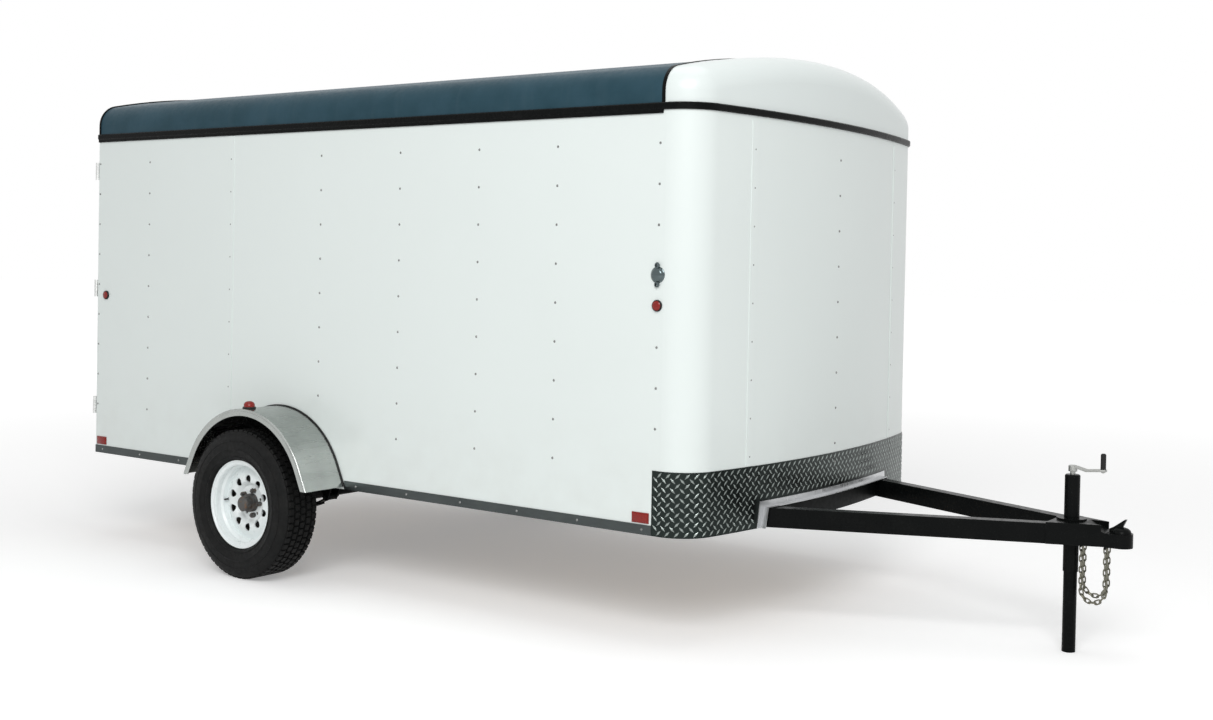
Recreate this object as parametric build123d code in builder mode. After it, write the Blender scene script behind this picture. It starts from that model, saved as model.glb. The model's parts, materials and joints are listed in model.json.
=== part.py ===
from build123d import *
import os
from math import atan2, cos, degrees, pi, radians, sin, sqrt, tan

# Single-axle enclosed cargo trailer with a bowed front, standing level on its tongue jack.
# +X points forward, +Y to the trailer's left and +Z up. The origin lies on the ground under the
# middle of the trailer's length. All sizes are in millimetres, all angles in degrees.

os.makedirs("parts", exist_ok=True)

# Box
box_length = 3724.0  # rear face to the middle of the bowed front
box_width = 1905.0
box_bottom = 419.0  # lower edge of the skin above the ground
wall_top = 2036.0
wall_thickness = 38.0
skin = 3.0  # sheet that laps over the frame and the rear posts
roof_thickness = 25.0
side_rise = 44.0  # upright edge of the roof above the walls
crown_radius = 3690.0  # roof arch across the trailer
eave_radius = 105.0
nose_lining = 45.0  # inner form of the nose inside its outer faces
bow_radius = 4118.0  # front wall, seen from above
corner_radius = 150.0
nose_length = 14.0  # straight run of the nose moulding before its corners start
front_panel_half = 620.0  # half width of the middle front sheet

# Frame and floor
rail_height = 76.0
rail_width = 50.0
cross_width = 38.0
cross_first = 330.0  # first cross member ahead of the rear face
cross_last = 814.0  # last cross member behind the front
cross_count = 7
deck_thickness = 19.0
post_width = 60.0
post_depth = 60.0
header_drop = 40.0  # door header below the wall top
fit_gap = 0.3  # between curved sheets that lie on each other
overcut = 1.0  # cuts run past the faces that they open

# Trim and stone guard
guard_top = 664.0
guard_sheet = 2.0
guard_lap = 20.0  # guard behind the front panel seam, along the sides
rub_height = 27.0  # black bead below the roof
rub_proud = 10.0
rub_round = 4.0
drip_height = 13.0
drip_proud = 6.0
seam_band = 14.0
seam_proud = 3.0
strip_height = 38.0  # grey strip along the lower edge
strip_proud = 3.0
angle_leg = 25.0  # aluminium angle round the tongue opening
angle_sheet = 3.0

# Tongue
tongue_angle = 22.3  # each tube against the centre line
tube_width = 51.0
jack_ahead = 1008.0  # jack centre ahead of the box
tongue_half = 92.0  # outer half width at the jack
tube_tip = 36.0  # tube ends ahead of the jack
opening_clear = 8.0  # tongue opening beyond the tubes
opening_rise = 3.0  # tongue opening above the tubes
opening_lean = 18.0  # each side of the opening widens by this much towards its foot

# Coupler and chains
ball_ahead = 185.0  # ball centre ahead of the jack
ball_radius = 26.0
nose_radius = 45.0
coupler_rear = 58.0  # coupler plate behind the jack centre
coupler_sheet = 6.0
nose_height = 52.0
nose_slope = 20.0  # sloped top starts this far ahead of the tubes
socket_depth = 16.0  # straight part of the ball socket
latch_width = 16.0
latch_ahead = 4.0  # latch housing ahead of the ball
latch_length = 44.0
latch_rise = 14.0
latch_pin_radius = 4.0
latch_pin_end = 4.0  # pin beyond the housing's sides
lever_tip = (22.0, 38.0)  # ahead of the ball, above the housing
lever_sheet = 7.0
staple_reach = 46.0  # rear chain staple ahead of the jack
staple_radius = 3.0
staple_half = 32.0
staple_room = 2.0  # over a link that hangs on its staple
chain_wire = 4.5
chain_pitch = 21.0
chain_slack = 0.4
link_play = 4.8  # inside width of a link over its wire
leg_links = [8, 7]  # links in each leg of the right and the left chain
bend_links = 7  # odd, so that the links at both ends lie the same way
bend_slack = 1.3  # links in the bend sit this much closer
chain_spread = 15.0  # each chain off the centre line

# Jack
jack_radius = 28.6
jack_foot = 305.0
jack_top = 672.0
jack_cap = 5.0
leg_radius = 25.4
leg_length = 372.0
leg_clear = 0.3
flange_radius = 56.0
flange_sheet = 8.0
jack_round = 4.0
crank_shaft_radius = 8.0
crank_path = [(-12.0, 24.0), (14.0, 24.0), (52.0, 14.0), (103.0, 19.0), (126.0, 19.0)]  # from the jack's top
crank_width = 18.0
crank_sheet = 7.0
grip_radius = 10.0
grip_length = 62.0
grip_round = 4.0

# Wheels and axle
axle_reach = 1381.0  # wheel centre ahead of the rear face
tyre_radius = 331.5
tyre_width = 205.0
wheel_offset = 137.0  # wheel's middle plane outside the box
rim_radius = 196.0
seat_radius = 177.0
wheel_facets = 60
shoulder_width = 26.0
shoulder_round = 9.0
shoulder_drop = 13.0
bead_rise = 8.0  # tyre above the rim's edge where they meet
face_radius = 80.0  # flat of the disc round the lugs
dish_rise = 26.0
crest_radius = (95.0, 124.0)  # crest of the pressed disc
dish_foot = 6.0
rim_width = 152.0
rim_sheet = 5.0
vent_count = 10
vent_radius = 15.5
vent_circle = 108.0
lug_count = 5
lug_circle = 57.15
stud_radius = 6.35
hub_bore_radius = 41.0
hub_radius = 72.0
hub_flange = 12.0
hub_depth = 90.0  # barrel reaches this far inside the wheel's middle plane
hub_barrel_radius = 48.0
hub_nose = 30.0
cap_radius = 30.0
cap_length = 32.0
nut_radius = 11.0
nut_length = 20.0
stud_end = 5.0
spindle_room = 2.0
spindle_radius = 20.0
bearing_clear = 0.08
axle_radius = 30.0
axle_inset = 95.0  # axle tube ends this far inside the wheel's middle plane
spindle_out = 18.0  # spindles end this far outside it
pad_length = 80.0
spring_span = 641.0
spring_arch = 78.0
spring_width = 44.5
leaf_sheet = 7.0
leaf_share = [1.0, 0.78, 0.55, 0.32]  # length of each leaf against the main leaf
eye_radius = 16.0
bolt_radius = 7.5
bolt_clear = 0.2
seat_height = 6.0
u_bolt_radius = 6.0
u_bolt_room = 2.0  # beside the spring
bolt_end = 14.0  # threaded end below the tie plate
plate_edge = 8.0
tie_plate = 8.0
hanger_sheet = 6.0
hanger_play = 1.0  # beside the spring's eye
hanger_foot = 34.0
bolt_head = 8.0
shackle_length = 40.0
shackle_lean = 62.0  # shackles lean back by this much
shackle_sheet = 5.0
shackle_end = 13.0

# Fenders
fender_shift = 26.0  # arch centre ahead of the axle
fender_height = 352.0  # arch centre above the ground
fender_radius = 405.0
fender_width = 222.0
fender_sheet = 3.0
fender_lip = 30.0
fender_round = 3.5
fender_foot = 431.0
fender_leg_angle = 25.0  # arch turns into straight legs this far above level
back_sheet = 2.0

# Doors
door_proud = 8.0
door_gap = 6.0
centre_gap = 10.0
hinge_heights = [660.0, 1255.0, 1850.0]
pin_out = 14.0  # hinge pin behind the rear face
pin_in = 2.0  # hinge pin inside the box side
pin_radius = 5.0
pin_clear = 0.08
knuckle_radius = 11.0
strap_height = 40.0
strap_sheet = 5.0
strap_length = 300.0
tab_height = 22.0
tab_gap = 1.0
leaf_length = 42.0
bar_radius = 12.7
bar_standoff = 18.0  # lock bar centre behind the door face
bar_place = 130.0  # lock bar off the centre line
bearing_wall = 4.3
bearing_heights = [600.0, 1420.0, 1900.0]
bearing_size = (52.0, 36.0)
handle_height = 1130.0
handle_length = 260.0
handle_size = (10.0, 26.0)
handle_catch = 30.0
bar_low = 25.0  # lock bar's foot above the box's lower edge
keeper_gap = 7.5
keeper_wall = 8.0
keeper_height = 36.0
keeper_low = 20.0  # lower keeper above the box's lower edge
keeper_high = 4.0  # upper keeper above the header's lower edge

# Lamps and fittings
marker_rear = (73.0, 1222.0)  # ahead of the rear face, above the ground
marker_front = (12.0, 1280.0)  # behind the front panel seam, above the ground
marker_radius = 23.0
marker_height = 12.0
lamp_round = 5.0
reflector_inset = 11.0  # reflectors off the rear face and off the stone guard
reflector_lift = 5.0  # reflectors above the bottom strips
reflector_size = (78.0, 40.0, 6.0)
fender_lamp_out = 188.0
fender_lamp_radius = 25.0
fender_lamp_height = 34.0
tail_lamp_height = 1000.0
tail_lamp_size = (44.0, 150.0, 14.0)
top_lamp_places = [-150.0, 0.0, 150.0]
top_lamp_rise = 114.0  # above the walls
top_lamp_size = (70.0, 26.0, 12.0)
fixture_place = (12.0, 1395.0)  # behind the front panel seam, above the ground
fixture_radius = 31.0
fixture_height = 14.0
fixture_round = 8.0
fixture_strap = (18.0, 6.0, 90.0)  # width, thickness and height

# Places that follow from the sizes
sides = {"right": -1, "left": 1}
half_width = box_width / 2
rear_reach = door_proud + bar_standoff + bar_radius + bearing_wall
jack_reach = box_length + jack_ahead
ball_reach = jack_reach + ball_ahead
tip_reach = ball_reach + nose_radius
x_rear = (rear_reach - tip_reach) / 2
front_x = x_rear + box_length
frame_top = box_bottom + rail_height
floor_top = frame_top + deck_thickness
header_bottom = wall_top - header_drop
post_x = x_rear + post_depth
rail_y = half_width - skin - rail_width
post_y = half_width - skin - post_width
jack_x = x_rear + jack_reach
ball_x = x_rear + ball_reach
axle_x = x_rear + axle_reach
fender_x = axle_x + fender_shift
wheel_y = half_width + wheel_offset
bow_centre = front_x - bow_radius
corner_start = bow_centre + sqrt((bow_radius - corner_radius) ** 2 - (half_width - corner_radius) ** 2)
seam_x = corner_start - nose_length
guard_x = seam_x - guard_lap
tongue_root = front_x - cross_last + cross_width / 2
roof_rise = sqrt((crown_radius - eave_radius) ** 2 - (half_width - eave_radius) ** 2)
roof_top = wall_top + side_rise + crown_radius - roof_rise


def keep(piece, label):
    """Name a finished piece and write it."""
    piece.part.label = label
    export_step(piece.part, f"parts/{label}.step")


def block(x, y, z, mode=Mode.ADD):
    """Box between two places along each axis, given in any order."""
    with Locations(((x[0] + x[1]) / 2, (y[0] + y[1]) / 2, (z[0] + z[1]) / 2)):
        Box(abs(x[1] - x[0]), abs(y[1] - y[0]), abs(z[1] - z[0]), mode=mode)


def upright(x, y, z, radius, mode=Mode.ADD):
    """Vertical cylinder between two heights."""
    with Locations((x, y, min(z))):
        Cylinder(radius, abs(z[1] - z[0]), align=(Align.CENTER, Align.CENTER, Align.MIN), mode=mode)


def crosswise(x, y, z, radius, mode=Mode.ADD):
    """Cylinder along Y between two places."""
    with Locations(Location((x, max(y), z), (90, 0, 0))):
        Cylinder(radius, abs(y[1] - y[0]), align=(Align.CENTER, Align.CENTER, Align.MIN), mode=mode)


def plan_plane(z):
    """Plan seen from below: drawn as (y, x), extruded downwards."""
    return Plane(origin=(0, 0, z), x_dir=(0, 1, 0), z_dir=(0, 0, -1))


def side_plane(y):
    """Side view drawn as (x, z), extruded towards -Y."""
    return Plane.XZ.offset(-y)


def arched_outline(half, shoulder, crown, top, base, grow):
    """Face with straight sides, rounded shoulders and a crowned top, grown outwards all round."""
    crown_middle = top - crown
    shoulder_x = half - shoulder
    shoulder_y = crown_middle + sqrt((crown - shoulder) ** 2 - shoulder_x**2)
    lean = atan2(shoulder_y - crown_middle, shoulder_x)
    small = shoulder + grow
    large = crown + grow
    side = (half + grow, shoulder_y)
    turn = (shoulder_x + small * cos(lean / 2), shoulder_y + small * sin(lean / 2))
    meet = (large * cos(lean), crown_middle + large * sin(lean))
    with BuildSketch() as outline:
        with BuildLine():
            Polyline((-side[0], side[1]), (-side[0], base), (side[0], base), side)
            ThreePointArc(side, turn, meet)
            ThreePointArc(meet, (0, top + grow), (-meet[0], meet[1]))
            ThreePointArc((-meet[0], meet[1]), (-turn[0], turn[1]), (-side[0], side[1]))
        make_face()
    return outline.sketch


def roof_outline(grow=0.0):
    """Roof section above the walls, drawn as (y, z)."""
    return arched_outline(half_width, eave_radius, crown_radius, roof_top, wall_top, grow)


def front_outline(grow=0.0, base=seam_x):
    """Plan of the box ahead of base, drawn as (y, x)."""
    return arched_outline(half_width, corner_radius, bow_radius, front_x, base, grow)


def tongue_y(x):
    """Outer face of a tongue tube off the centre line."""
    return tongue_half + (jack_x - x) * tan(radians(tongue_angle))


def tongue_plan(side):
    """One tongue tube from above, drawn as (y, x)."""
    across = tube_width / cos(radians(tongue_angle))
    tip = jack_x + tube_tip
    corners = [
        (side * tongue_y(tongue_root), tongue_root),
        (side * tongue_y(tip), tip),
        (side * (tongue_y(tip) - across), tip),
        (side * (tongue_y(tongue_root) - across), tongue_root),
    ]
    with BuildSketch() as plan:
        with BuildLine():
            Polyline(*corners, close=True)
        make_face()
    return plan.sketch


# The tongue opening is measured where the tubes pass the bowed front.
opening_half = tongue_y(front_x - tongue_y(front_x) ** 2 / (2 * bow_radius)) + opening_clear
opening_top = frame_top + opening_rise


def opening_outline(grow=0.0):
    """Tongue opening in the front, drawn as (y, z), with its angle's leg beyond it as grow."""
    foot = opening_half + opening_lean + grow
    head = opening_half + grow
    with BuildSketch() as outline:
        with BuildLine():
            Polyline(
                (-foot, box_bottom), (foot, box_bottom), (head, opening_top + grow),
                (-head, opening_top + grow), close=True,
            )
        make_face()
    return outline.sketch


# Frame
with BuildPart() as side_rails:
    for side in sides.values():
        block((post_x, seam_x), (side * rail_y, side * (rail_y + rail_width)), (box_bottom, frame_top))
keep(side_rails, "side_rails")

with BuildPart() as cross_members:
    cross_pitch = (box_length - cross_first - cross_last) / (cross_count - 1)
    for index in range(cross_count):
        middle = x_rear + cross_first + index * cross_pitch
        block(
            (middle - cross_width / 2, middle + cross_width / 2), (-rail_y, rail_y), (box_bottom, frame_top)
        )
keep(cross_members, "cross_members")

with BuildPart() as tongue_tubes:
    with BuildSketch(plan_plane(frame_top)):
        for side in sides.values():
            add(tongue_plan(side))
    extrude(amount=rail_height)
keep(tongue_tubes, "tongue_tubes")

with BuildPart() as front_rail:
    with BuildSketch(plan_plane(frame_top)):
        add(front_outline(-skin - fit_gap))
        add(front_outline(-skin - fit_gap - rail_width), mode=Mode.SUBTRACT)
        for side in sides.values():
            add(tongue_plan(side), mode=Mode.SUBTRACT)
    extrude(amount=rail_height)
keep(front_rail, "front_rail")

with BuildPart() as floor_deck:
    with BuildSketch(plan_plane(floor_top)):
        add(front_outline(-wall_thickness - fit_gap, post_x))
    extrude(amount=deck_thickness)
keep(floor_deck, "floor_deck")

# Walls
for name, side in sides.items():
    with BuildPart() as wall:
        block(
            (post_x, seam_x), (side * (half_width - wall_thickness), side * half_width), (frame_top, wall_top)
        )
        block((x_rear, seam_x), (side * (half_width - skin), side * half_width), (box_bottom, wall_top))
    keep(wall, f"wall_{name}")

    with BuildPart() as corner:
        with BuildSketch(plan_plane(wall_top)):
            add(front_outline())
            add(front_outline(-wall_thickness), mode=Mode.SUBTRACT)
            with Locations((side * (front_panel_half + half_width / 2), front_x)):
                Rectangle(half_width, box_length, mode=Mode.INTERSECT)
        extrude(amount=wall_top - frame_top)
        with BuildSketch(plan_plane(frame_top)):
            add(front_outline())
            add(front_outline(-skin), mode=Mode.SUBTRACT)
            with Locations((side * (opening_half + opening_lean + half_width / 2), front_x)):
                Rectangle(half_width, box_length, mode=Mode.INTERSECT)
        extrude(amount=rail_height)
    keep(corner, f"front_corner_{name}")

with BuildPart() as wall_front:
    with BuildSketch(plan_plane(wall_top)):
        add(front_outline())
        add(front_outline(-wall_thickness), mode=Mode.SUBTRACT)
        with Locations((0, front_x)):
            Rectangle(2 * front_panel_half, box_length / 2, mode=Mode.INTERSECT)
    extrude(amount=wall_top - frame_top)
keep(wall_front, "wall_front")

# Roof and nose
with BuildPart() as roof_panel:
    with BuildSketch(Plane.YZ.offset(x_rear)):
        add(roof_outline())
        add(roof_outline(-roof_thickness), mode=Mode.SUBTRACT)
    extrude(amount=seam_x - x_rear)
keep(roof_panel, "roof_panel")


def nose_form(grow):
    """Nose moulding as a full form: bowed walls under the roof's crown."""
    with BuildPart() as form:
        with BuildSketch(plan_plane(roof_top + grow)):
            add(front_outline(grow))
        extrude(amount=roof_top + grow - wall_top)
        with BuildSketch(Plane.YZ.offset(seam_x)):
            with Locations((0, roof_top - crown_radius)):
                Circle(crown_radius + grow)
        extrude(amount=box_length, mode=Mode.INTERSECT)
    return form.part


with BuildPart() as nose_cap:
    add(nose_form(0.0))
    crown = nose_cap.faces().sort_by(Axis.Z)[-1]
    fillet(crown.edges().filter_by(lambda edge: edge.center().X > seam_x + nose_length / 4), eave_radius)
    add(nose_form(-nose_lining), mode=Mode.SUBTRACT)
keep(nose_cap, "nose_cap")


def on_outer_bead(edge):
    """Whether an edge of the nose trim lies on its outer face."""
    if edge.geom_type == GeomType.CIRCLE:
        return min(abs(edge.radius - rub_proud - large) for large in (corner_radius, bow_radius)) < fit_gap
    return abs(edge.center().Y) > half_width + rub_proud - fit_gap


# Black trim below the roof and over the roof seam
with BuildPart() as roof_rails:
    with BuildSketch(Plane.YZ.offset(x_rear)):
        for side in sides.values():
            with Locations((side * (half_width + rub_proud / 2), wall_top - rub_height / 2)):
                bead = Rectangle(rub_proud, rub_height)
            chamfer(bead.vertices().group_by(Axis.X)[(side + 1) // -2], rub_round)
            with Locations((side * (half_width + drip_proud / 2), wall_top - rub_height - drip_height / 2)):
                Rectangle(drip_proud, drip_height)
    extrude(amount=seam_x - x_rear)
keep(roof_rails, "roof_rails")

with BuildPart() as nose_trim:
    with BuildSketch(plan_plane(wall_top)):
        add(front_outline(rub_proud))
        add(front_outline(fit_gap), mode=Mode.SUBTRACT)
    extrude(amount=rub_height)
    bead_face = nose_trim.faces().filter_by(Axis.Z)
    chamfer(bead_face.edges().filter_by(on_outer_bead), rub_round)
keep(nose_trim, "nose_trim")

with BuildPart() as roof_seam_trim:
    with BuildSketch(Plane.YZ.offset(seam_x - seam_band / 2)):
        add(roof_outline(fit_gap + seam_proud))
        add(roof_outline(fit_gap), mode=Mode.SUBTRACT)
    extrude(amount=seam_band)
keep(roof_seam_trim, "roof_seam_trim")

# Strips along the lower edge stop at the fenders
fender_leg = radians(fender_leg_angle)


def fender_end(grow=0.0):
    """Half length of the fender at its foot."""
    radius = fender_radius + grow
    drop = fender_height + radius * sin(fender_leg) - fender_foot
    return radius * cos(fender_leg) + drop * tan(fender_leg)


with BuildPart() as bottom_strips:
    runs = [
        (x_rear, fender_x - fender_end() - fit_gap),
        (fender_x + fender_end() + fit_gap, guard_x),
    ]
    for side in sides.values():
        for run in runs:
            block(
                run, (side * half_width, side * (half_width + strip_proud)),
                (box_bottom, box_bottom + strip_height),
            )
keep(bottom_strips, "bottom_strips")

# Stone guard and the angle round the tongue opening
with BuildPart() as stone_guard:
    with BuildSketch(plan_plane(guard_top)):
        add(front_outline(fit_gap + guard_sheet, guard_x))
        add(front_outline(fit_gap, guard_x), mode=Mode.SUBTRACT)
    extrude(amount=guard_top - box_bottom)
    with BuildSketch(Plane.YZ.offset(seam_x)):
        add(opening_outline())
    extrude(amount=box_length, mode=Mode.SUBTRACT)
keep(stone_guard, "stone_guard")

guard_out = 2 * fit_gap + guard_sheet
with BuildPart() as tongue_trim:
    with BuildSketch(plan_plane(opening_top + angle_leg)):
        add(front_outline(guard_out + angle_sheet))
        add(front_outline(guard_out), mode=Mode.SUBTRACT)
    extrude(amount=opening_top + angle_leg - box_bottom)
    with BuildSketch(plan_plane(opening_top + angle_sheet)):
        add(front_outline(guard_out + angle_leg))
        add(front_outline(guard_out), mode=Mode.SUBTRACT)
    extrude(amount=angle_sheet + opening_top - box_bottom, mode=Mode.ADD)
    with BuildSketch(Plane.YZ.offset(seam_x)):
        add(opening_outline(angle_leg))
        add(opening_outline(), mode=Mode.SUBTRACT)
    extrude(amount=box_length, mode=Mode.INTERSECT)
    with BuildSketch(plan_plane(guard_top)):
        add(front_outline(guard_out + 2 * angle_leg))
        add(front_outline(guard_out + angle_sheet), mode=Mode.SUBTRACT)
    shelf_zone = extrude(amount=guard_top - box_bottom, mode=Mode.PRIVATE)
    with BuildSketch(Plane.YZ.offset(seam_x)):
        add(opening_outline(2 * angle_leg))
        add(opening_outline(angle_sheet), mode=Mode.SUBTRACT)
    outside = extrude(amount=box_length, mode=Mode.PRIVATE)
    add(shelf_zone & outside, mode=Mode.SUBTRACT)
keep(tongue_trim, "tongue_trim")

# Rear frame
with BuildPart() as rear_posts:
    for side in sides.values():
        block(
            (x_rear, post_x), (side * post_y, side * (post_y + post_width)), (box_bottom, header_bottom)
        )
keep(rear_posts, "rear_posts")

with BuildPart() as rear_header:
    with BuildSketch(Plane.YZ.offset(x_rear)):
        with Locations((0, (header_bottom + wall_top) / 2)):
            Rectangle(2 * (half_width - skin), header_drop)
        add(roof_outline(-roof_thickness - fit_gap))
    extrude(amount=post_depth)
keep(rear_header, "rear_header")

with BuildPart() as rear_sill:
    block((x_rear, post_x), (-post_y, post_y), (box_bottom, floor_top))
keep(rear_sill, "rear_sill")


# Fenders
def fender_outline(grow):
    """Arch with straight legs, drawn as (x, z)."""
    radius = fender_radius + grow
    reach = fender_end(grow)
    start = (radius * cos(fender_leg), fender_height + radius * sin(fender_leg))
    with BuildSketch() as outline:
        with BuildLine():
            Polyline(
                (fender_x - start[0], start[1]), (fender_x - reach, fender_foot),
                (fender_x + reach, fender_foot), (fender_x + start[0], start[1]),
            )
            ThreePointArc(
                (fender_x + start[0], start[1]), (fender_x, fender_height + radius),
                (fender_x - start[0], start[1]),
            )
        make_face()
    return outline.sketch


def on_fender_edge(edge):
    """Whether an edge is the fender's outer edge, along its arch and legs."""
    middle = edge.position_at(0.5)
    reach = sqrt((middle.X - fender_x) ** 2 + (middle.Z - fender_height) ** 2)
    return reach > fender_radius - fit_gap and abs(middle.Y) > half_width + fender_width - fit_gap


for name, side in sides.items():
    inner = side * half_width
    outer = side * (half_width + fender_width)
    with BuildPart() as fender:
        with BuildSketch(side_plane(max(inner, outer))):
            add(fender_outline(0.0))
            add(fender_outline(-fender_sheet), mode=Mode.SUBTRACT)
        extrude(amount=fender_width)
        with BuildSketch(side_plane(max(outer, outer - side * fender_sheet))):
            add(fender_outline(0.0))
            add(fender_outline(-fender_lip), mode=Mode.SUBTRACT)
        extrude(amount=fender_sheet)
        chamfer(fender.edges().filter_by(on_fender_edge), fender_round)
    keep(fender, f"fender_{name}")

with BuildPart() as fender_backs:
    for side in sides.values():
        with BuildSketch(side_plane(max(side * half_width, side * (half_width + back_sheet)))):
            add(fender_outline(-fender_sheet - fit_gap))
        extrude(amount=back_sheet)
keep(fender_backs, "fender_backs")

# Wheels: drums between ends given as (distance out from the wheel's middle plane, radius)
flange_out = rim_width / 2
well_radius = seat_radius - rim_sheet
crest_out = dish_rise + rim_sheet
sidewall_radius = (tyre_radius + rim_radius) / 2


def drum(side, near, far):
    """Even-sided drum along the axle, straight or tapered from one end to the other."""
    (start, radius), (end, end_radius) = near, far
    way = 1 if end > start else -1
    slope = atan2((radius - end_radius) * cos(pi / wheel_facets), abs(end - start))
    middle = (axle_x, side * (wheel_y + start), tyre_radius)
    with BuildPart() as body:
        with BuildSketch(Plane(origin=middle, x_dir=(1, 0, 0), z_dir=(0, way * side, 0))):
            RegularPolygon(radius, wheel_facets)
        extrude(amount=abs(end - start), taper=degrees(slope))
    return body.part


for name, side in sides.items():
    with BuildPart() as tyre:
        tread_edge = tyre_width / 2 - shoulder_width
        add(drum(side, (-tread_edge, tyre_radius), (tread_edge, tyre_radius)))
        for way in (-1, 1):
            shoulder = (way * (tyre_width / 2 - shoulder_round), tyre_radius - shoulder_drop)
            bulge = (way * tyre_width / 2, sidewall_radius)
            bead = (way * (flange_out - rim_sheet - fit_gap), rim_radius + bead_rise)
            add(drum(side, (way * tread_edge, tyre_radius), shoulder))
            add(drum(side, shoulder, bulge))
            add(drum(side, bulge, bead), mode=Mode.SUBTRACT)
        bore = seat_radius + fit_gap
        add(drum(side, (-tyre_width, bore), (tyre_width, bore)), mode=Mode.SUBTRACT)
    keep(tyre, f"tyre_{name}")

    with BuildPart() as rim:
        for out in (-flange_out, flange_out - rim_sheet):
            add(drum(side, (out, rim_radius), (out + rim_sheet, rim_radius)))
        add(drum(side, (rim_sheet - flange_out, seat_radius), (flange_out - rim_sheet, seat_radius)))
        add(drum(side, (-flange_out, well_radius), (0, well_radius)), mode=Mode.SUBTRACT)
        add(drum(side, (rim_sheet, well_radius), (flange_out, well_radius)), mode=Mode.SUBTRACT)
        # the disc is pressed out into a crest round its flat middle
        foot, top = well_radius - dish_foot, crest_radius[1]
        add(drum(side, (rim_sheet, foot), (crest_out, top)))
        add(drum(side, (0, foot - rim_sheet), (dish_rise, top - rim_sheet)), mode=Mode.SUBTRACT)
        add(drum(side, (0, face_radius + rim_sheet), (crest_out, crest_radius[0] + rim_sheet)))
        add(drum(side, (crest_out, crest_radius[0]), (rim_sheet, face_radius)), mode=Mode.SUBTRACT)
        with BuildSketch(side_plane(side * wheel_y + rim_width)):
            with Locations((axle_x, tyre_radius)):
                Circle(hub_bore_radius)
                with PolarLocations(vent_circle, vent_count):
                    RegularPolygon(vent_radius, 16)
                with PolarLocations(lug_circle, lug_count):
                    RegularPolygon(stud_radius + bolt_clear, 8)
        extrude(amount=2 * rim_width, mode=Mode.SUBTRACT)
    keep(rim, f"rim_{name}")

    with BuildPart() as hub:
        flange_in = wheel_y - hub_flange
        crosswise(axle_x, (side * wheel_y, side * flange_in), tyre_radius, hub_radius)
        crosswise(axle_x, (side * flange_in, side * (wheel_y - hub_depth)), tyre_radius, hub_barrel_radius)
        nose_out = wheel_y + hub_nose
        crosswise(axle_x, (side * wheel_y, side * nose_out), tyre_radius, hub_bore_radius - bolt_clear)
        crosswise(axle_x, (side * nose_out, side * (nose_out + cap_length)), tyre_radius, cap_radius)
        nut_near = side * (wheel_y + rim_sheet)
        nut_far = side * (wheel_y + rim_sheet + nut_length)
        with BuildSketch(side_plane(max(nut_near, nut_far))):
            with Locations((axle_x, tyre_radius)):
                with PolarLocations(lug_circle, lug_count):
                    RegularPolygon(nut_radius, 6)
        extrude(amount=nut_length)
        stud_far = side * (wheel_y + rim_sheet + nut_length + stud_end)
        with BuildSketch(side_plane(max(side * wheel_y, stud_far))):
            with Locations((axle_x, tyre_radius)):
                with PolarLocations(lug_circle, lug_count):
                    RegularPolygon(stud_radius, 8)
        extrude(amount=rim_sheet + nut_length + stud_end)
        bore = (side * (wheel_y + spindle_out + spindle_room), side * (wheel_y - hub_depth))
        crosswise(axle_x, bore, tyre_radius, spindle_radius + bearing_clear, mode=Mode.SUBTRACT)
    keep(hub, f"hub_{name}")

# Axle and springs
spring_y = rail_y + rail_width / 2
seat_top = tyre_radius - axle_radius
leaf_top = seat_top - seat_height
eye_height = leaf_top + spring_arch
arc_radius = ((spring_span / 2) ** 2 + spring_arch**2) / (2 * spring_arch)
arc_middle = leaf_top + arc_radius
with BuildPart() as axle:
    crosswise(axle_x, (wheel_y - axle_inset, axle_inset - wheel_y), tyre_radius, axle_radius)
    crosswise(axle_x, (wheel_y + spindle_out, -spindle_out - wheel_y), tyre_radius, spindle_radius)
    for side in sides.values():
        with BuildSketch(side_plane(side * spring_y + spring_width / 2)):
            with Locations((axle_x, tyre_radius - axle_radius / 2)):
                Rectangle(pad_length, 2 * (axle_radius / 2 + seat_height), align=(Align.CENTER, Align.MAX))
            with Locations((axle_x, arc_middle)):
                Circle(arc_radius - fit_gap, mode=Mode.INTERSECT)
        extrude(amount=spring_width)
keep(axle, "axle")


def leaf_outline(index):
    """One leaf of the spring, drawn as (x, z); each lies below the one before it."""
    inside = arc_radius + index * leaf_sheet
    outside = inside + leaf_sheet
    swing = leaf_share[index] * atan2(spring_span / 2, arc_radius - spring_arch)
    with BuildSketch() as outline:
        with BuildLine():
            for radius in (inside, outside):
                ThreePointArc(
                    (axle_x - radius * sin(swing), arc_middle - radius * cos(swing)),
                    (axle_x, arc_middle - radius),
                    (axle_x + radius * sin(swing), arc_middle - radius * cos(swing)),
                )
            for way in (-1, 1):
                Line(
                    (axle_x + way * inside * sin(swing), arc_middle - inside * cos(swing)),
                    (axle_x + way * outside * sin(swing), arc_middle - outside * cos(swing)),
                )
        make_face()
    return outline.sketch


with BuildPart() as leaf_springs:
    for side in sides.values():
        with BuildSketch(side_plane(side * spring_y + spring_width / 2)):
            for index in range(len(leaf_share)):
                add(leaf_outline(index))
            with Locations((axle_x - spring_span / 2, eye_height), (axle_x + spring_span / 2, eye_height)):
                Circle(eye_radius)
            with Locations((axle_x - spring_span / 2, eye_height), (axle_x + spring_span / 2, eye_height)):
                Circle(bolt_radius + bolt_clear, mode=Mode.SUBTRACT)
        extrude(amount=spring_width)
keep(leaf_springs, "leaf_springs")

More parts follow.
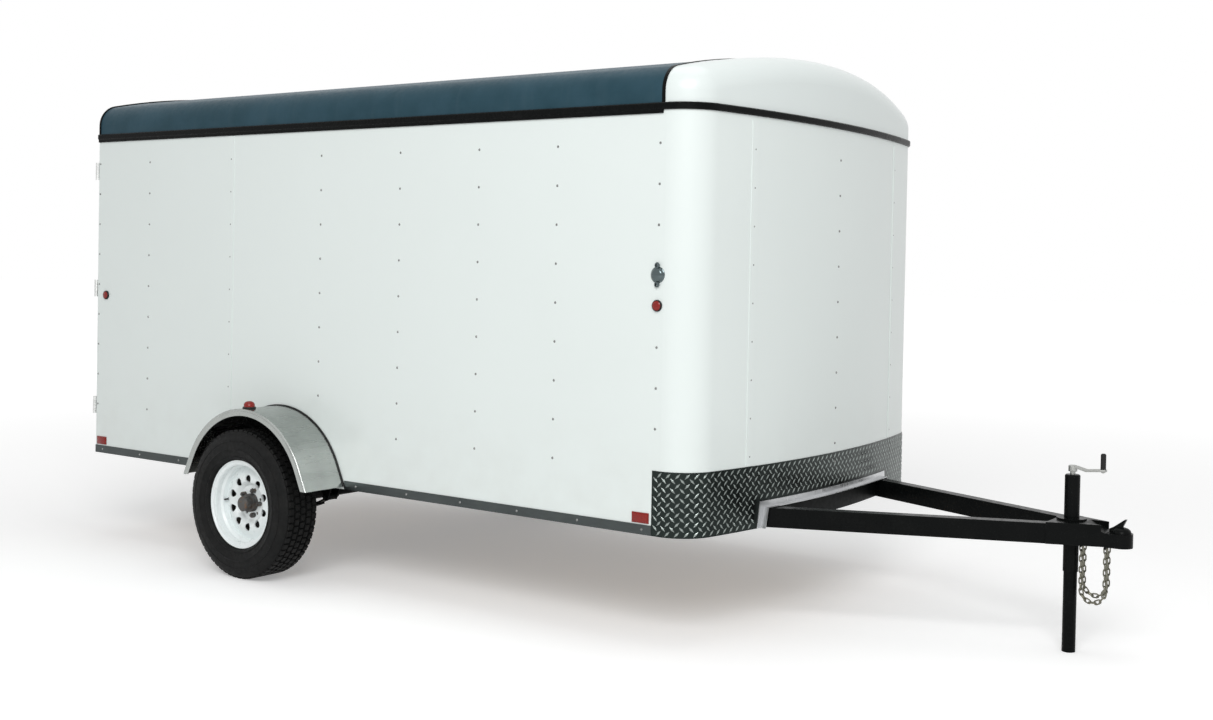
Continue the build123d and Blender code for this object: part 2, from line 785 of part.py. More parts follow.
cheek = spring_width / 2 + hanger_play
lean = radians(shackle_lean)
front_eye = (axle_x + spring_span / 2, eye_height)
rear_eye = (axle_x - spring_span / 2, eye_height)
shackle_top = (rear_eye[0] - shackle_length * sin(lean), rear_eye[1] + shackle_length * cos(lean))
shackle_middle = ((rear_eye[0] + shackle_top[0]) / 2, (rear_eye[1] + shackle_top[1]) / 2)
with BuildPart() as spring_hangers:
    for side in sides.values():
        middle = side * spring_y
        pin = cheek + shackle_sheet + hanger_sheet + bolt_head
        for eye, inside in ((front_eye, cheek), (shackle_top, cheek + shackle_sheet)):
            for edge in (-1, 1):
                wall = middle + edge * inside
                with BuildSketch(side_plane(max(wall, wall + edge * hanger_sheet))):
                    with BuildLine():
                        Polyline(
                            (eye[0] - hanger_foot, box_bottom), (eye[0] - eye_radius, eye[1]),
                            (eye[0] - eye_radius / 2, eye[1] - eye_radius),
                            (eye[0] + eye_radius / 2, eye[1] - eye_radius), (eye[0] + eye_radius, eye[1]),
                            (eye[0] + hanger_foot, box_bottom), close=True,
                        )
                    make_face()
                extrude(amount=hanger_sheet)
        with BuildSketch(side_plane(middle + pin)):
            with Locations(front_eye, shackle_top, rear_eye):
                RegularPolygon(bolt_radius, 6)
        extrude(amount=2 * pin)
        for edge in (-1, 1):
            wall = middle + edge * cheek
            with BuildSketch(side_plane(max(wall, wall + edge * shackle_sheet))):
                with Locations(Location((*shackle_middle, 0), (0, 0, 90 + shackle_lean))):
                    plate = Rectangle(shackle_length + 2 * shackle_end, 2 * shackle_end)
                chamfer(plate.vertices(), shackle_end / 2)
            extrude(amount=shackle_sheet)
keep(spring_hangers, "spring_hangers")

plate_top = leaf_top - len(leaf_share) * leaf_sheet
bolt_bend = axle_radius + fit_gap
bolt_low = plate_top - tie_plate - bolt_end


def u_bolt_outline(radius):
    """U over the axle with straight legs, drawn as (x, z)."""
    with BuildSketch() as outline:
        with BuildLine():
            Polyline(
                (axle_x + radius, tyre_radius), (axle_x + radius, bolt_low), (axle_x - radius, bolt_low),
                (axle_x - radius, tyre_radius),
            )
            ThreePointArc(
                (axle_x + radius, tyre_radius), (axle_x, tyre_radius + radius), (axle_x - radius, tyre_radius)
            )
        make_face()
    return outline.sketch


with BuildPart() as axle_u_bolts:
    for side in sides.values():
        middle = side * spring_y
        for edge in (-1, 1):
            place = middle + edge * (spring_width / 2 + u_bolt_radius + u_bolt_room)
            with BuildSketch(side_plane(place + u_bolt_radius)):
                add(u_bolt_outline(bolt_bend + 2 * u_bolt_radius))
                add(u_bolt_outline(bolt_bend), mode=Mode.SUBTRACT)
            extrude(amount=2 * u_bolt_radius)
        plate_x = bolt_bend + 2 * u_bolt_radius + plate_edge
        plate_y = spring_width / 2 + 2 * u_bolt_radius + u_bolt_room + plate_edge
        block(
            (axle_x - plate_x, axle_x + plate_x), (middle - plate_y, middle + plate_y),
            (plate_top - tie_plate, plate_top),
        )
keep(axle_u_bolts, "axle_u_bolts")

# Doors
door_low = floor_top + door_gap
door_high = header_bottom - door_gap
door_face = x_rear - door_proud
pin_x = x_rear - pin_out
bar_x = door_face - bar_standoff
for name, side in sides.items():
    with BuildPart() as door:
        block(
            (door_face, door_face + wall_thickness), (side * centre_gap / 2, side * (post_y - door_gap)),
            (door_low, door_high),
        )
    keep(door, f"door_{name}")

    pin_y = side * (half_width - pin_in)
    with BuildPart() as hinges:
        for height in hinge_heights:
            band = (height - strap_height / 2, height + strap_height / 2)
            upright(pin_x, pin_y, band, knuckle_radius)
            block((door_face - strap_sheet, door_face), (pin_y, pin_y - side * strap_length), band)
            upright(pin_x, pin_y, band, pin_radius + pin_clear, mode=Mode.SUBTRACT)
    keep(hinges, f"door_hinges_{name}")

    with BuildPart() as lock_bar:
        place = side * bar_place
        upright(bar_x, place, (box_bottom + bar_low, header_bottom + keeper_height), bar_radius)
        for height in bearing_heights:
            block(
                (bar_x - bar_radius - bearing_wall, door_face),
                (place - bearing_size[0] / 2, place + bearing_size[0] / 2),
                (height - bearing_size[1] / 2, height + bearing_size[1] / 2),
            )
        grip = (place, place + side * handle_length)
        band = (handle_height - handle_size[1] / 2, handle_height + handle_size[1] / 2)
        block((bar_x - handle_size[0] / 2, bar_x + handle_size[0] / 2), grip, band)
        block((bar_x, door_face), (grip[1], grip[1] - side * handle_catch), band)
    keep(lock_bar, f"lock_bar_{name}")

with BuildPart() as hinge_brackets:
    for side in sides.values():
        pin_y = side * (half_width - pin_in)
        for height in hinge_heights:
            for way in (-1, 1):
                near = height + way * (strap_height / 2 + tab_gap)
                band = (near, near + way * tab_height)
                upright(pin_x, pin_y, band, knuckle_radius)
                block((x_rear - strap_sheet, x_rear), (pin_y, pin_y - side * leaf_length), band)
            reach = strap_height / 2 + tab_gap + tab_height
            upright(pin_x, pin_y, (height - reach, height + reach), pin_radius)
keep(hinge_brackets, "hinge_brackets")

with BuildPart() as lock_keepers:
    for side in sides.values():
        for low in (box_bottom + keeper_low, header_bottom + keeper_high):
            band = (low, low + keeper_height)
            place = side * bar_place
            inside = bar_radius + keeper_gap
            block((x_rear - keeper_wall, x_rear), (place - inside, place + inside), band)
            for way in (-1, 1):
                wall = (place + way * inside, place + way * (inside + keeper_wall))
                block((bar_x - bar_radius, x_rear), wall, band)
keep(lock_keepers, "lock_keepers")

# Coupler
bend_radius = (chain_pitch + chain_slack - bend_slack) / (2 * sin(pi / (2 * bend_links)))
staple_z = box_bottom - staple_room - chain_wire - staple_radius
plate_high = frame_top + coupler_sheet
coupler_back = jack_x - coupler_rear
flare = coupler_sheet / cos(radians(tongue_angle))
waist_x = jack_x + (tongue_half + flare - nose_radius) / tan(radians(tongue_angle))
with BuildPart() as coupler:
    with BuildSketch(plan_plane(plate_high)):
        with BuildLine():
            back_half = tongue_y(coupler_back) + flare
            Polyline(
                (-nose_radius, ball_x), (-nose_radius, waist_x), (-back_half, coupler_back),
                (back_half, coupler_back), (nose_radius, waist_x), (nose_radius, ball_x),
            )
            ThreePointArc((nose_radius, ball_x), (0, ball_x + nose_radius), (-nose_radius, ball_x))
        make_face()
    extrude(amount=plate_high - box_bottom)
    with BuildSketch(plan_plane(frame_top)):
        tip = jack_x + tube_tip
        behind = coupler_back - overcut
        with BuildLine():
            Polyline(
                (tongue_y(behind), behind), (tongue_y(tip), tip), (-tongue_y(tip), tip),
                (-tongue_y(behind), behind), close=True,
            )
        make_face()
    extrude(amount=rail_height, mode=Mode.SUBTRACT)
    with BuildSketch(side_plane(nose_radius + overcut)):
        with BuildLine():
            nose_top = box_bottom + nose_height
            past_tip = ball_x + nose_radius + overcut
            Polyline(
                (jack_x + tube_tip + nose_slope, plate_high + overcut), (ball_x - nose_radius, nose_top),
                (past_tip, nose_top), (past_tip, plate_high + overcut), close=True,
            )
        make_face()
    extrude(amount=2 * (nose_radius + overcut), mode=Mode.SUBTRACT)
    upright(ball_x, 0, (box_bottom, box_bottom + socket_depth), ball_radius, mode=Mode.SUBTRACT)
    with Locations((ball_x, 0, box_bottom + socket_depth)):
        Sphere(ball_radius, mode=Mode.SUBTRACT)
    upright(jack_x, 0, (frame_top, plate_high), jack_radius + leg_clear, mode=Mode.SUBTRACT)
    for reach in (staple_reach, staple_reach + 2 * bend_radius):
        crosswise(jack_x + reach, (-staple_half, staple_half), staple_z, staple_radius)
        for way in (-1, 1):
            block(
                (jack_x + reach - staple_radius, jack_x + reach + staple_radius),
                (way * staple_half, way * (staple_half - 2 * staple_radius)),
                (staple_z - staple_radius, box_bottom),
            )
keep(coupler, "coupler")

latch_back = ball_x + latch_ahead - latch_length
latch_top = nose_top + latch_rise
with BuildPart() as coupler_latch:
    with BuildSketch(side_plane(latch_width / 2)):
        with BuildLine():
            Polyline(
                (latch_back, nose_top), (ball_x + latch_ahead, nose_top), (ball_x + latch_ahead, latch_top),
                (ball_x + lever_tip[0], latch_top + lever_tip[1]),
                (ball_x + lever_tip[0] - lever_sheet, latch_top + lever_tip[1]),
                (latch_back + latch_rise, latch_top + lever_sheet), (latch_back, latch_top), close=True,
            )
        make_face()
    extrude(amount=latch_width)
    pin_half = latch_width / 2 + latch_pin_end
    crosswise(latch_back + latch_rise, (-pin_half, pin_half), (nose_top + latch_top) / 2, latch_pin_radius)
keep(coupler_latch, "coupler_latch")

# Safety chains
with BuildPart() as link:
    with BuildSketch(Plane.XY):
        outside = Rectangle(chain_pitch + chain_slack + 2 * chain_wire, 3 * chain_wire + link_play)
        chamfer(outside.vertices(), chain_wire)
        Rectangle(chain_pitch + chain_slack, chain_wire + link_play, mode=Mode.SUBTRACT)
    extrude(amount=chain_wire / 2, both=True)


def chain_joints(leg):
    """Contact points of one chain that hangs from staple to staple as a U with two straight legs."""
    left = jack_x + staple_reach
    top = staple_z + staple_radius
    low = top - leg * chain_pitch
    joints = [(left, top - step * chain_pitch) for step in range(leg)]
    for step in range(bend_links + 1):
        angle = pi * step / bend_links
        joints.append((left + bend_radius * (1 - cos(angle)), low - bend_radius * sin(angle)))
    joints += [(left + 2 * bend_radius, low + step * chain_pitch) for step in range(1, leg + 1)]
    return joints


with BuildPart() as safety_chains:
    for side, leg in zip(sides.values(), leg_links):
        joints = chain_joints(leg)
        for index, (start, end) in enumerate(zip(joints, joints[1:])):
            middle = ((start[0] + end[0]) / 2, side * chain_spread, (start[1] + end[1]) / 2)
            along = (end[0] - start[0], 0, end[1] - start[1])
            normal = (0, 1, 0) if index % 2 == 0 else (along[2], 0, -along[0])
            with Locations(Location(Plane(origin=middle, x_dir=along, z_dir=normal))):
                add(link.part)
keep(safety_chains, "safety_chains")

# Jack
with BuildPart() as jack_tube:
    upright(jack_x, 0, (jack_foot, jack_top), jack_radius)
    chamfer(jack_tube.edges().group_by(Axis.Z)[-1], jack_round)
    upright(jack_x, 0, (plate_high, plate_high + flange_sheet), flange_radius)
    upright(jack_x, 0, (jack_foot, jack_top - jack_cap), leg_radius + leg_clear, mode=Mode.SUBTRACT)
keep(jack_tube, "jack_tube")

with BuildPart() as jack_leg:
    upright(jack_x, 0, (0, leg_length), leg_radius)
keep(jack_leg, "jack_leg")

with BuildPart() as jack_crank:
    under = [(jack_x + ahead, jack_top + rise) for ahead, rise in crank_path]
    over = [(x, z + crank_sheet) for x, z in reversed(under)]
    upright(jack_x, 0, (jack_top, under[0][1]), crank_shaft_radius)
    with BuildSketch(side_plane(crank_width / 2)):
        with BuildLine():
            Polyline(*under, *over, close=True)
        make_face()
    extrude(amount=crank_width)
keep(jack_crank, "jack_crank")

with BuildPart() as crank_grip:
    grip_low = under[-1][1] + crank_sheet
    upright((under[-1][0] + under[-2][0]) / 2, 0, (grip_low, grip_low + grip_length), grip_radius)
    chamfer(crank_grip.edges().group_by(Axis.Z)[-1], grip_round)
keep(crank_grip, "crank_grip")

# Lamps and fittings
with BuildPart() as side_lamps:
    for side in sides.values():
        lens_out = side * (half_width + marker_height)
        crosswise(x_rear + marker_rear[0], (side * half_width, lens_out), marker_rear[1], marker_radius)
        crosswise(seam_x - marker_front[0], (side * half_width, lens_out), marker_front[1], marker_radius)
        base = fender_height + fender_radius + fit_gap
        lamp_y = side * (half_width + fender_lamp_out)
        upright(fender_x, lamp_y, (base, base + fender_lamp_height), fender_lamp_radius)
    lens_edges = side_lamps.edges().filter_by(
        lambda edge: abs(abs(edge.center().Y) - half_width - marker_height) < fit_gap
        or abs(edge.center().Z - base - fender_lamp_height) < fit_gap
    )
    chamfer(lens_edges, lamp_round)
keep(side_lamps, "side_lamps")

with BuildPart() as reflectors:
    reflector_z = box_bottom + strip_height + reflector_lift
    for side in sides.values():
        for start in (x_rear + reflector_inset, guard_x - reflector_inset - reflector_size[0]):
            block(
                (start, start + reflector_size[0]),
                (side * half_width, side * (half_width + reflector_size[2])),
                (reflector_z, reflector_z + reflector_size[1]),
            )
keep(reflectors, "reflectors")

with BuildPart() as rear_lamps:
    for side in sides.values():
        middle = side * (post_y + post_width / 2)
        block(
            (x_rear - tail_lamp_size[2], x_rear),
            (middle - tail_lamp_size[0] / 2, middle + tail_lamp_size[0] / 2),
            (tail_lamp_height - tail_lamp_size[1] / 2, tail_lamp_height + tail_lamp_size[1] / 2),
        )
    top_lamp_z = wall_top + top_lamp_rise
    for place in top_lamp_places:
        block(
            (x_rear - top_lamp_size[2], x_rear),
            (place - top_lamp_size[0] / 2, place + top_lamp_size[0] / 2),
            (top_lamp_z - top_lamp_size[1] / 2, top_lamp_z + top_lamp_size[1] / 2),
        )
keep(rear_lamps, "rear_lamps")

with BuildPart() as wall_fixtures:
    for side in sides.values():
        middle = seam_x - fixture_place[0]
        near = side * half_width
        far = side * (half_width + fixture_height)
        crosswise(middle, (near, far), fixture_place[1], fixture_radius)
    dome_edges = wall_fixtures.edges().filter_by(
        lambda edge: abs(edge.center().Y) > half_width + fixture_height - fit_gap
    )
    chamfer(dome_edges, fixture_round)
    for side in sides.values():
        block(
            (middle - fixture_strap[0] / 2, middle + fixture_strap[0] / 2),
            (side * half_width, side * (half_width + fixture_strap[1])),
            (fixture_place[1] - fixture_strap[2] / 2, fixture_place[1] + fixture_strap[2] / 2),
        )
keep(wall_fixtures, "wall_fixtures")
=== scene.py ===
"""Looks of an enclosed cargo trailer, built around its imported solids. Lengths are in metres."""
import json
from math import asin, atan2, cos, pi, radians, sin, sqrt, tan, tau

import bpy
import bmesh
import numpy
from mathutils import Matrix, Vector


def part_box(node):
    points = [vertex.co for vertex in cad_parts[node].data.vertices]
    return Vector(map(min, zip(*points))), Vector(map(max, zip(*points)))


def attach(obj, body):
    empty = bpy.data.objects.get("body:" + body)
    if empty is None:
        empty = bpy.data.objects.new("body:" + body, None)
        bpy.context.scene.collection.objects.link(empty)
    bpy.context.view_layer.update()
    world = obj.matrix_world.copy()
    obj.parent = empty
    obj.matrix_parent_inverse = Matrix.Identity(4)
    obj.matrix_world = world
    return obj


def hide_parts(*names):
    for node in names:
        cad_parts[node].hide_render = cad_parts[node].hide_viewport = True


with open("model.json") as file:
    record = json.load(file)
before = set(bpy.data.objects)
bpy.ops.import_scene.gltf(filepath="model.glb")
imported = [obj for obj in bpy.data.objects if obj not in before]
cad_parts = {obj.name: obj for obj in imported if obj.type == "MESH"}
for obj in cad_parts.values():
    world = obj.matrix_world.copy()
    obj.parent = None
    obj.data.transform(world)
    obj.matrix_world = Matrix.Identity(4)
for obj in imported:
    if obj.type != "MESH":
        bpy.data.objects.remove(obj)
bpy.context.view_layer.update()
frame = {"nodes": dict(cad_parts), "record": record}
NODES = frame["nodes"]
BODY = "trailer_body"
SIDES = {"right": -1, "left": 1}

# Camera, fitted to the photograph's 1213 by 720 frame
PHOTO_WIDTH, PHOTO_HEIGHT = 1213, 720
FOCAL_PIXELS = 1421.74
CENTRE_PIXEL = (661.54, 289.44)
SENSOR = 36.0
CAMERA_PLACE = Vector((4.008, -5.3105, 1.439))
CAMERA_YAW, CAMERA_PITCH, CAMERA_ROLL = radians(-34.4), radians(-1.06), radians(1.13)

# Places on the box, read from the frame
WALL_LOW, WALL_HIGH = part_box("wall_left")
REAR_X, SEAM_X = WALL_LOW[0], WALL_HIGH[0]
HALF_WIDTH = WALL_HIGH[1]
BOX_BOTTOM, WALL_TOP = WALL_LOW[2], WALL_HIGH[2]
FRONT_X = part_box("wall_front")[1][0]
GUARD_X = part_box("stone_guard")[0][0]
GUARD_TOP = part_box("stone_guard")[1][2]
STRIP_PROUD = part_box("bottom_strips")[1][1] - HALF_WIDTH
TRIM_CLEAR = 0.012
TRIM_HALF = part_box("tongue_trim")[1][1] + TRIM_CLEAR
TRIM_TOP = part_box("tongue_trim")[1][2] + TRIM_CLEAR
UP, REARWARD = Vector((0, 0, 1)), Vector((-1, 0, 0))

# Plan of the rounded front
BOW_RADIUS = 4.118
CORNER_RADIUS = 0.150
GUARD_SHEET = 0.0023
BOW_MIDDLE = FRONT_X - BOW_RADIUS
CORNER_Y = HALF_WIDTH - CORNER_RADIUS
CORNER_X = BOW_MIDDLE + sqrt((BOW_RADIUS - CORNER_RADIUS) ** 2 - CORNER_Y**2)
BOW_SWING = asin(CORNER_Y / (BOW_RADIUS - CORNER_RADIUS))
BOW_RUN = BOW_RADIUS * BOW_SWING
CORNER_RUN = CORNER_RADIUS * (pi / 2 - BOW_SWING)
PANEL_HALF = 0.620

# Arch of the roof
SIDE_RISE = 0.044
EAVE_RADIUS = 0.105
CROWN_RADIUS = 3.690

# Wheels and fenders
TYRE_LOW, TYRE_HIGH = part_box("tyre_left")
AXLE_X = (TYRE_LOW[0] + TYRE_HIGH[0]) / 2
WHEEL_Y = (TYRE_LOW[1] + TYRE_HIGH[1]) / 2
TYRE_RADIUS = (TYRE_HIGH[2] - TYRE_LOW[2]) / 2
FENDER_LOW, FENDER_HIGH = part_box("fender_left")
FENDER_X = (FENDER_LOW[0] + FENDER_HIGH[0]) / 2
FENDER_RADIUS = 0.405
FENDER_MIDDLE = FENDER_HIGH[2] - FENDER_RADIUS
FENDER_LEG = radians(25)

# Light
FLOOR_SIZE = 60
FLOOR_GLOW_NEAR, FLOOR_GLOW_FAR = 0.28, 0.62
FLOOR_NEAR, FLOOR_FAR = 3.0, 11.0
WORLD_LIGHT = 0.46
LAMPS = {
    # place, aim, size and power
    "key": ((4.5, -7.0, 6.0), (0.0, 0.0, 1.1), (5.0, 4.0), 440),
    "fill": ((8.5, 2.0, 4.5), (1.5, 0.0, 1.0), (5.0, 4.0), 4),
    "top": ((0.0, 0.0, 8.0), (0.0, 0.0, 0.0), (7.0, 4.0), 85),
}


def round_front(along, height=0.0, proud=0.0):
    """Point on the box's plan and the way out of it, at a distance to the left of the front's middle."""
    side = 1 if along >= 0 else -1
    run = abs(along)
    if run <= BOW_RUN:
        turn, centre, radius = run / BOW_RADIUS, Vector((BOW_MIDDLE, 0, height)), BOW_RADIUS
    elif run <= BOW_RUN + CORNER_RUN:
        turn = BOW_SWING + (run - BOW_RUN) / CORNER_RADIUS
        centre, radius = Vector((CORNER_X, side * CORNER_Y, height)), CORNER_RADIUS
    else:
        turn = pi / 2
        centre = Vector((CORNER_X - (run - BOW_RUN - CORNER_RUN), side * CORNER_Y, height))
        radius = CORNER_RADIUS
    outward = Vector((cos(turn), side * sin(turn), 0))
    return centre + (radius + proud) * outward, outward


def side_run(x):
    """Distance round the front to a place on the side walls."""
    return BOW_RUN + CORNER_RUN + CORNER_X - x


# Node helpers


class Wiring:
    """Short ways to add nodes to a tree and wire them."""

    def __init__(self, tree):
        self.tree = tree

    def node(self, kind, settings=None, **inputs):
        made = self.tree.nodes.new(kind)
        for key, value in (settings or {}).items():
            setattr(made, key, value)
        for key, value in inputs.items():
            self.feed(made.inputs[key.replace("_", " ")], value)
        return made

    def feed(self, socket, value):
        if isinstance(value, bpy.types.NodeSocket):
            self.tree.links.new(value, socket)
        else:
            socket.default_value = value

    def maths(self, operation, first, second):
        made = self.node("ShaderNodeMath", {"operation": operation})
        self.feed(made.inputs[0], first)
        self.feed(made.inputs[1], second)
        return made.outputs["Value"]

    def spread(self, value, low, high, to_low=0.0, to_high=1.0):
        """Value that goes from one level to another as an input crosses a span."""
        made = self.node("ShaderNodeMapRange", Value=value)
        for key, number in zip(("From Min", "From Max", "To Min", "To Max"), (low, high, to_low, to_high)):
            made.inputs[key].default_value = number
        return made.outputs["Result"]


class Finish(Wiring):
    """A material under construction: a principled shader and the textures wired into it."""

    def __init__(self, name, colour, roughness, metallic=0.0, **sockets):
        self.material = bpy.data.materials.new(name)
        self.material.use_nodes = True
        super().__init__(self.material.node_tree)
        self.shader = self.tree.nodes["Principled BSDF"]
        self.place = self.node("ShaderNodeTexCoord").outputs["Object"]
        sockets.update(Base_Color=(*colour, 1), Roughness=roughness, Metallic=metallic)
        for key, value in sockets.items():
            self.shader.inputs[key.replace("_", " ")].default_value = value

    def stretched(self, scale):
        """Object coordinates, stretched along each axis."""
        return self.node("ShaderNodeMapping", Vector=self.place, Scale=scale).outputs["Vector"]

    def noise(self, scale, detail=4.0, along=None):
        made = self.node("ShaderNodeTexNoise", Vector=along or self.place, Scale=scale, Detail=detail)
        return made.outputs["Fac"]

    def cells(self, scale, output="Color"):
        return self.node("ShaderNodeTexVoronoi", Vector=self.place, Scale=scale).outputs[output]

    def mix(self, factor, first, second):
        made = self.node("ShaderNodeMix", {"data_type": "RGBA"})
        self.feed(made.inputs[0], factor)
        for socket, value in ((made.inputs[6], first), (made.inputs[7], second)):
            self.feed(socket, (*value, 1) if isinstance(value, tuple) else value)
        return made.outputs[2]

    def height(self):
        """Height above the ground."""
        return self.node("ShaderNodeSeparateXYZ", Vector=self.place).outputs["Z"]

    def edges(self, radius=0.004):
        """1 on corners and edges, 0 on flat faces, from a bevelled normal."""
        dot = self.node("ShaderNodeVectorMath", {"operation": "DOT_PRODUCT"})
        self.feed(dot.inputs[0], self.node("ShaderNodeBevel", Radius=radius).outputs["Normal"])
        self.feed(dot.inputs[1], self.node("ShaderNodeNewGeometry").outputs["Normal"])
        return self.spread(dot.outputs["Value"], 0.98, 0.8)

    def colour(self, value):
        self.feed(self.shader.inputs["Base Color"], value)

    def rough(self, value):
        self.feed(self.shader.inputs["Roughness"], value)

    def bump(self, height, strength, distance):
        made = self.node("ShaderNodeBump", Height=height, Strength=strength, Distance=distance)
        old = self.shader.inputs["Normal"]
        if old.is_linked:
            self.tree.links.new(old.links[0].from_socket, made.inputs["Normal"])
        self.tree.links.new(made.outputs["Normal"], old)


class Pattern(Wiring):
    """A Geometry Nodes tree that stamps one shape on points, with named inputs for its sizes.

    The points carry two vectors: outward, where the shape's top faces, and along, where its length lies.
    """

    def __init__(self, name, sizes):
        super().__init__(bpy.data.node_groups.new(name, "GeometryNodeTree"))
        face = self.tree.interface
        face.new_socket("Points", in_out="INPUT", socket_type="NodeSocketGeometry")
        for size, kind in sizes.items():
            face.new_socket(size, in_out="INPUT", socket_type=f"NodeSocket{kind}")
        face.new_socket("Finish", in_out="INPUT", socket_type="NodeSocketMaterial")
        face.new_socket("Geometry", in_out="OUTPUT", socket_type="NodeSocketGeometry")
        self.sizes = self.tree.nodes.new("NodeGroupInput").outputs
        self.result = self.tree.nodes.new("NodeGroupOutput").inputs["Geometry"]

    def vector(self, x, y, z):
        return self.node("ShaderNodeCombineXYZ", X=x, Y=y, Z=z).outputs["Vector"]

    def frustum(self, corners, top, height):
        """Bar with even sides of radius 1, narrower at its top."""
        return self.node(
            "GeometryNodeMeshCone", Vertices=corners, Radius_Bottom=1.0, Radius_Top=top, Depth=height
        ).outputs["Mesh"]

    def moved(self, shape, **how):
        return self.node("GeometryNodeTransform", Geometry=shape, **how).outputs["Geometry"]

    def facing(self, outward, along):
        """Rotation that turns a shape's top to outward and its length to along."""
        up = self.node("FunctionNodeAlignRotationToVector", {"axis": "Z"}, Vector=outward)
        turned = self.node(
            "FunctionNodeAlignRotationToVector", {"axis": "X", "pivot_axis": "Z"},
            Rotation=up.outputs["Rotation"], Vector=along,
        )
        return turned.outputs["Rotation"]

    def carried(self, name):
        """A vector that each point carries."""
        made = self.node("GeometryNodeInputNamedAttribute", {"data_type": "FLOAT_VECTOR"}, Name=name)
        return made.outputs["Attribute"]

    def stamp(self, shape, points, rotation):
        return self.node(
            "GeometryNodeInstanceOnPoints", Points=points, Instance=shape, Rotation=rotation
        ).outputs["Instances"]

    def end(self, instances):
        """Make the instances real, give them their finish and put them out."""
        real = self.node("GeometryNodeRealizeInstances", Geometry=instances).outputs["Geometry"]
        painted = self.node("GeometryNodeSetMaterial", Geometry=real, Material=self.sizes["Finish"])
        self.tree.links.new(painted.outputs["Geometry"], self.result)
        return self.tree

    def on_points(self, shape):
        """Stamp the shape on the points that come in, and put the result out."""
        facing = self.facing(self.carried("outward"), self.carried("along"))
        return self.end(self.stamp(shape, self.sizes["Points"], facing))


def screw_pattern():
    """Pan-head screws: a low head with a narrower crown."""
    screws = Pattern("screw_heads", {"Head Radius": "Float", "Head Height": "Float"})
    radius, height = screws.sizes["Head Radius"], screws.sizes["Head Height"]
    return screws.on_points(
        screws.moved(screws.frustum(10, 0.62, 1.0), Scale=screws.vector(radius, radius, height))
    )


def diamond_pattern():
    """Raised lozenges of tread plate."""
    plate = Pattern("plate_diamonds", {"Length": "Float", "Width": "Float", "Height": "Float"})
    half_length = plate.maths("MULTIPLY", plate.sizes["Length"], 0.5)
    half_width = plate.maths("MULTIPLY", plate.sizes["Width"], 0.5)
    scale = plate.vector(half_length, half_width, plate.sizes["Height"])
    return plate.on_points(plate.moved(plate.frustum(4, 0.45, 1.0), Scale=scale))


def chain_pattern():
    """Round-wire links."""
    chain = Pattern("chain_links", {"Length": "Float", "Width": "Float", "Wire": "Float"})
    wire = chain.sizes["Wire"]
    loop = chain.node(
        "GeometryNodeCurvePrimitiveQuadrilateral",
        Width=chain.maths("SUBTRACT", chain.sizes["Length"], wire),
        Height=chain.maths("SUBTRACT", chain.sizes["Width"], wire),
    ).outputs["Curve"]
    bend = chain.maths("MULTIPLY", chain.maths("SUBTRACT", chain.sizes["Width"], wire), 0.49)
    rounded = chain.node(
        "GeometryNodeFilletCurve", {"mode": "POLY"}, Curve=loop, Count=2, Radius=bend
    ).outputs["Curve"]
    round_wire = chain.node(
        "GeometryNodeCurvePrimitiveCircle", Resolution=6, Radius=chain.maths("MULTIPLY", wire, 0.5)
    ).outputs["Curve"]
    link = chain.node("GeometryNodeCurveToMesh", Curve=rounded, Profile_Curve=round_wire)
    return chain.on_points(link.outputs["Mesh"])


def tread_pattern():
    """Rows of tapered blocks round a tyre's carcass, each row half a block on from the one beside it."""
    tread = Pattern("tread_blocks", {
        "Centre": "Vector", "Radius": "Float", "Blocks": "Int", "Rows": "Int", "Row Pitch": "Float",
        "Block Length": "Float", "Block Width": "Float", "Block Depth": "Float",
    })
    sizes = tread.sizes
    square = tread.moved(tread.frustum(4, 0.86, 1.0), Rotation=(0, 0, pi / 4))
    across = sqrt(0.5)
    block = tread.moved(square, Scale=tread.vector(
        tread.maths("MULTIPLY", sizes["Block Length"], across),
        tread.maths("MULTIPLY", sizes["Block Width"], across), sizes["Block Depth"],
    ))
    foot = tread.maths("SUBTRACT", sizes["Radius"], sizes["Block Depth"])
    circle = tread.node("GeometryNodeCurvePrimitiveCircle", Resolution=sizes["Blocks"], Radius=foot)
    spots = tread.node("GeometryNodeCurveToPoints", {"mode": "EVALUATED"}, Curve=circle.outputs["Curve"])
    place = tread.node("GeometryNodeInputPosition").outputs["Position"]
    row = tread.stamp(block, spots.outputs["Points"], tread.facing(place, spots.outputs["Tangent"]))
    first = tread.maths("MULTIPLY", tread.maths("SUBTRACT", sizes["Rows"], 1), -0.5)
    line = tread.node(
        "GeometryNodeMeshLine", Count=sizes["Rows"],
        Start_Location=tread.vector(0, 0, tread.maths("MULTIPLY", first, sizes["Row Pitch"])),
        Offset=tread.vector(0, 0, sizes["Row Pitch"]),
    ).outputs["Mesh"]
    half_step = tread.maths("DIVIDE", pi, sizes["Blocks"])
    index = tread.node("GeometryNodeInputIndex").outputs["Index"]
    turn = tread.vector(0, 0, tread.maths("MULTIPLY", index, half_step))
    rows = tread.moved(
        tread.node("GeometryNodeRealizeInstances", Geometry=tread.stamp(row, line, turn)).outputs["Geometry"],
        Rotation=(pi / 2, 0, 0), Translation=sizes["Centre"],
    )
    joined = tread.node("GeometryNodeJoinGeometry")
    tread.tree.links.new(rows, joined.inputs["Geometry"])
    tread.tree.links.new(sizes["Points"], joined.inputs["Geometry"])
    return tread.end(joined.outputs["Geometry"])


# Mesh helpers


def place_object(name, mesh):
    """An object at the origin that shows a mesh."""
    made = bpy.data.objects.new(name, mesh)
    bpy.context.scene.collection.objects.link(made)
    return made


def plain_mesh(name, maker):
    """Plain mesh of what an object shows with its modifiers. The object is then removed."""
    shown = maker.evaluated_get(bpy.context.evaluated_depsgraph_get())
    mesh = bpy.data.meshes.new_from_object(shown)
    mesh.name = name
    bpy.data.objects.remove(maker)
    return mesh


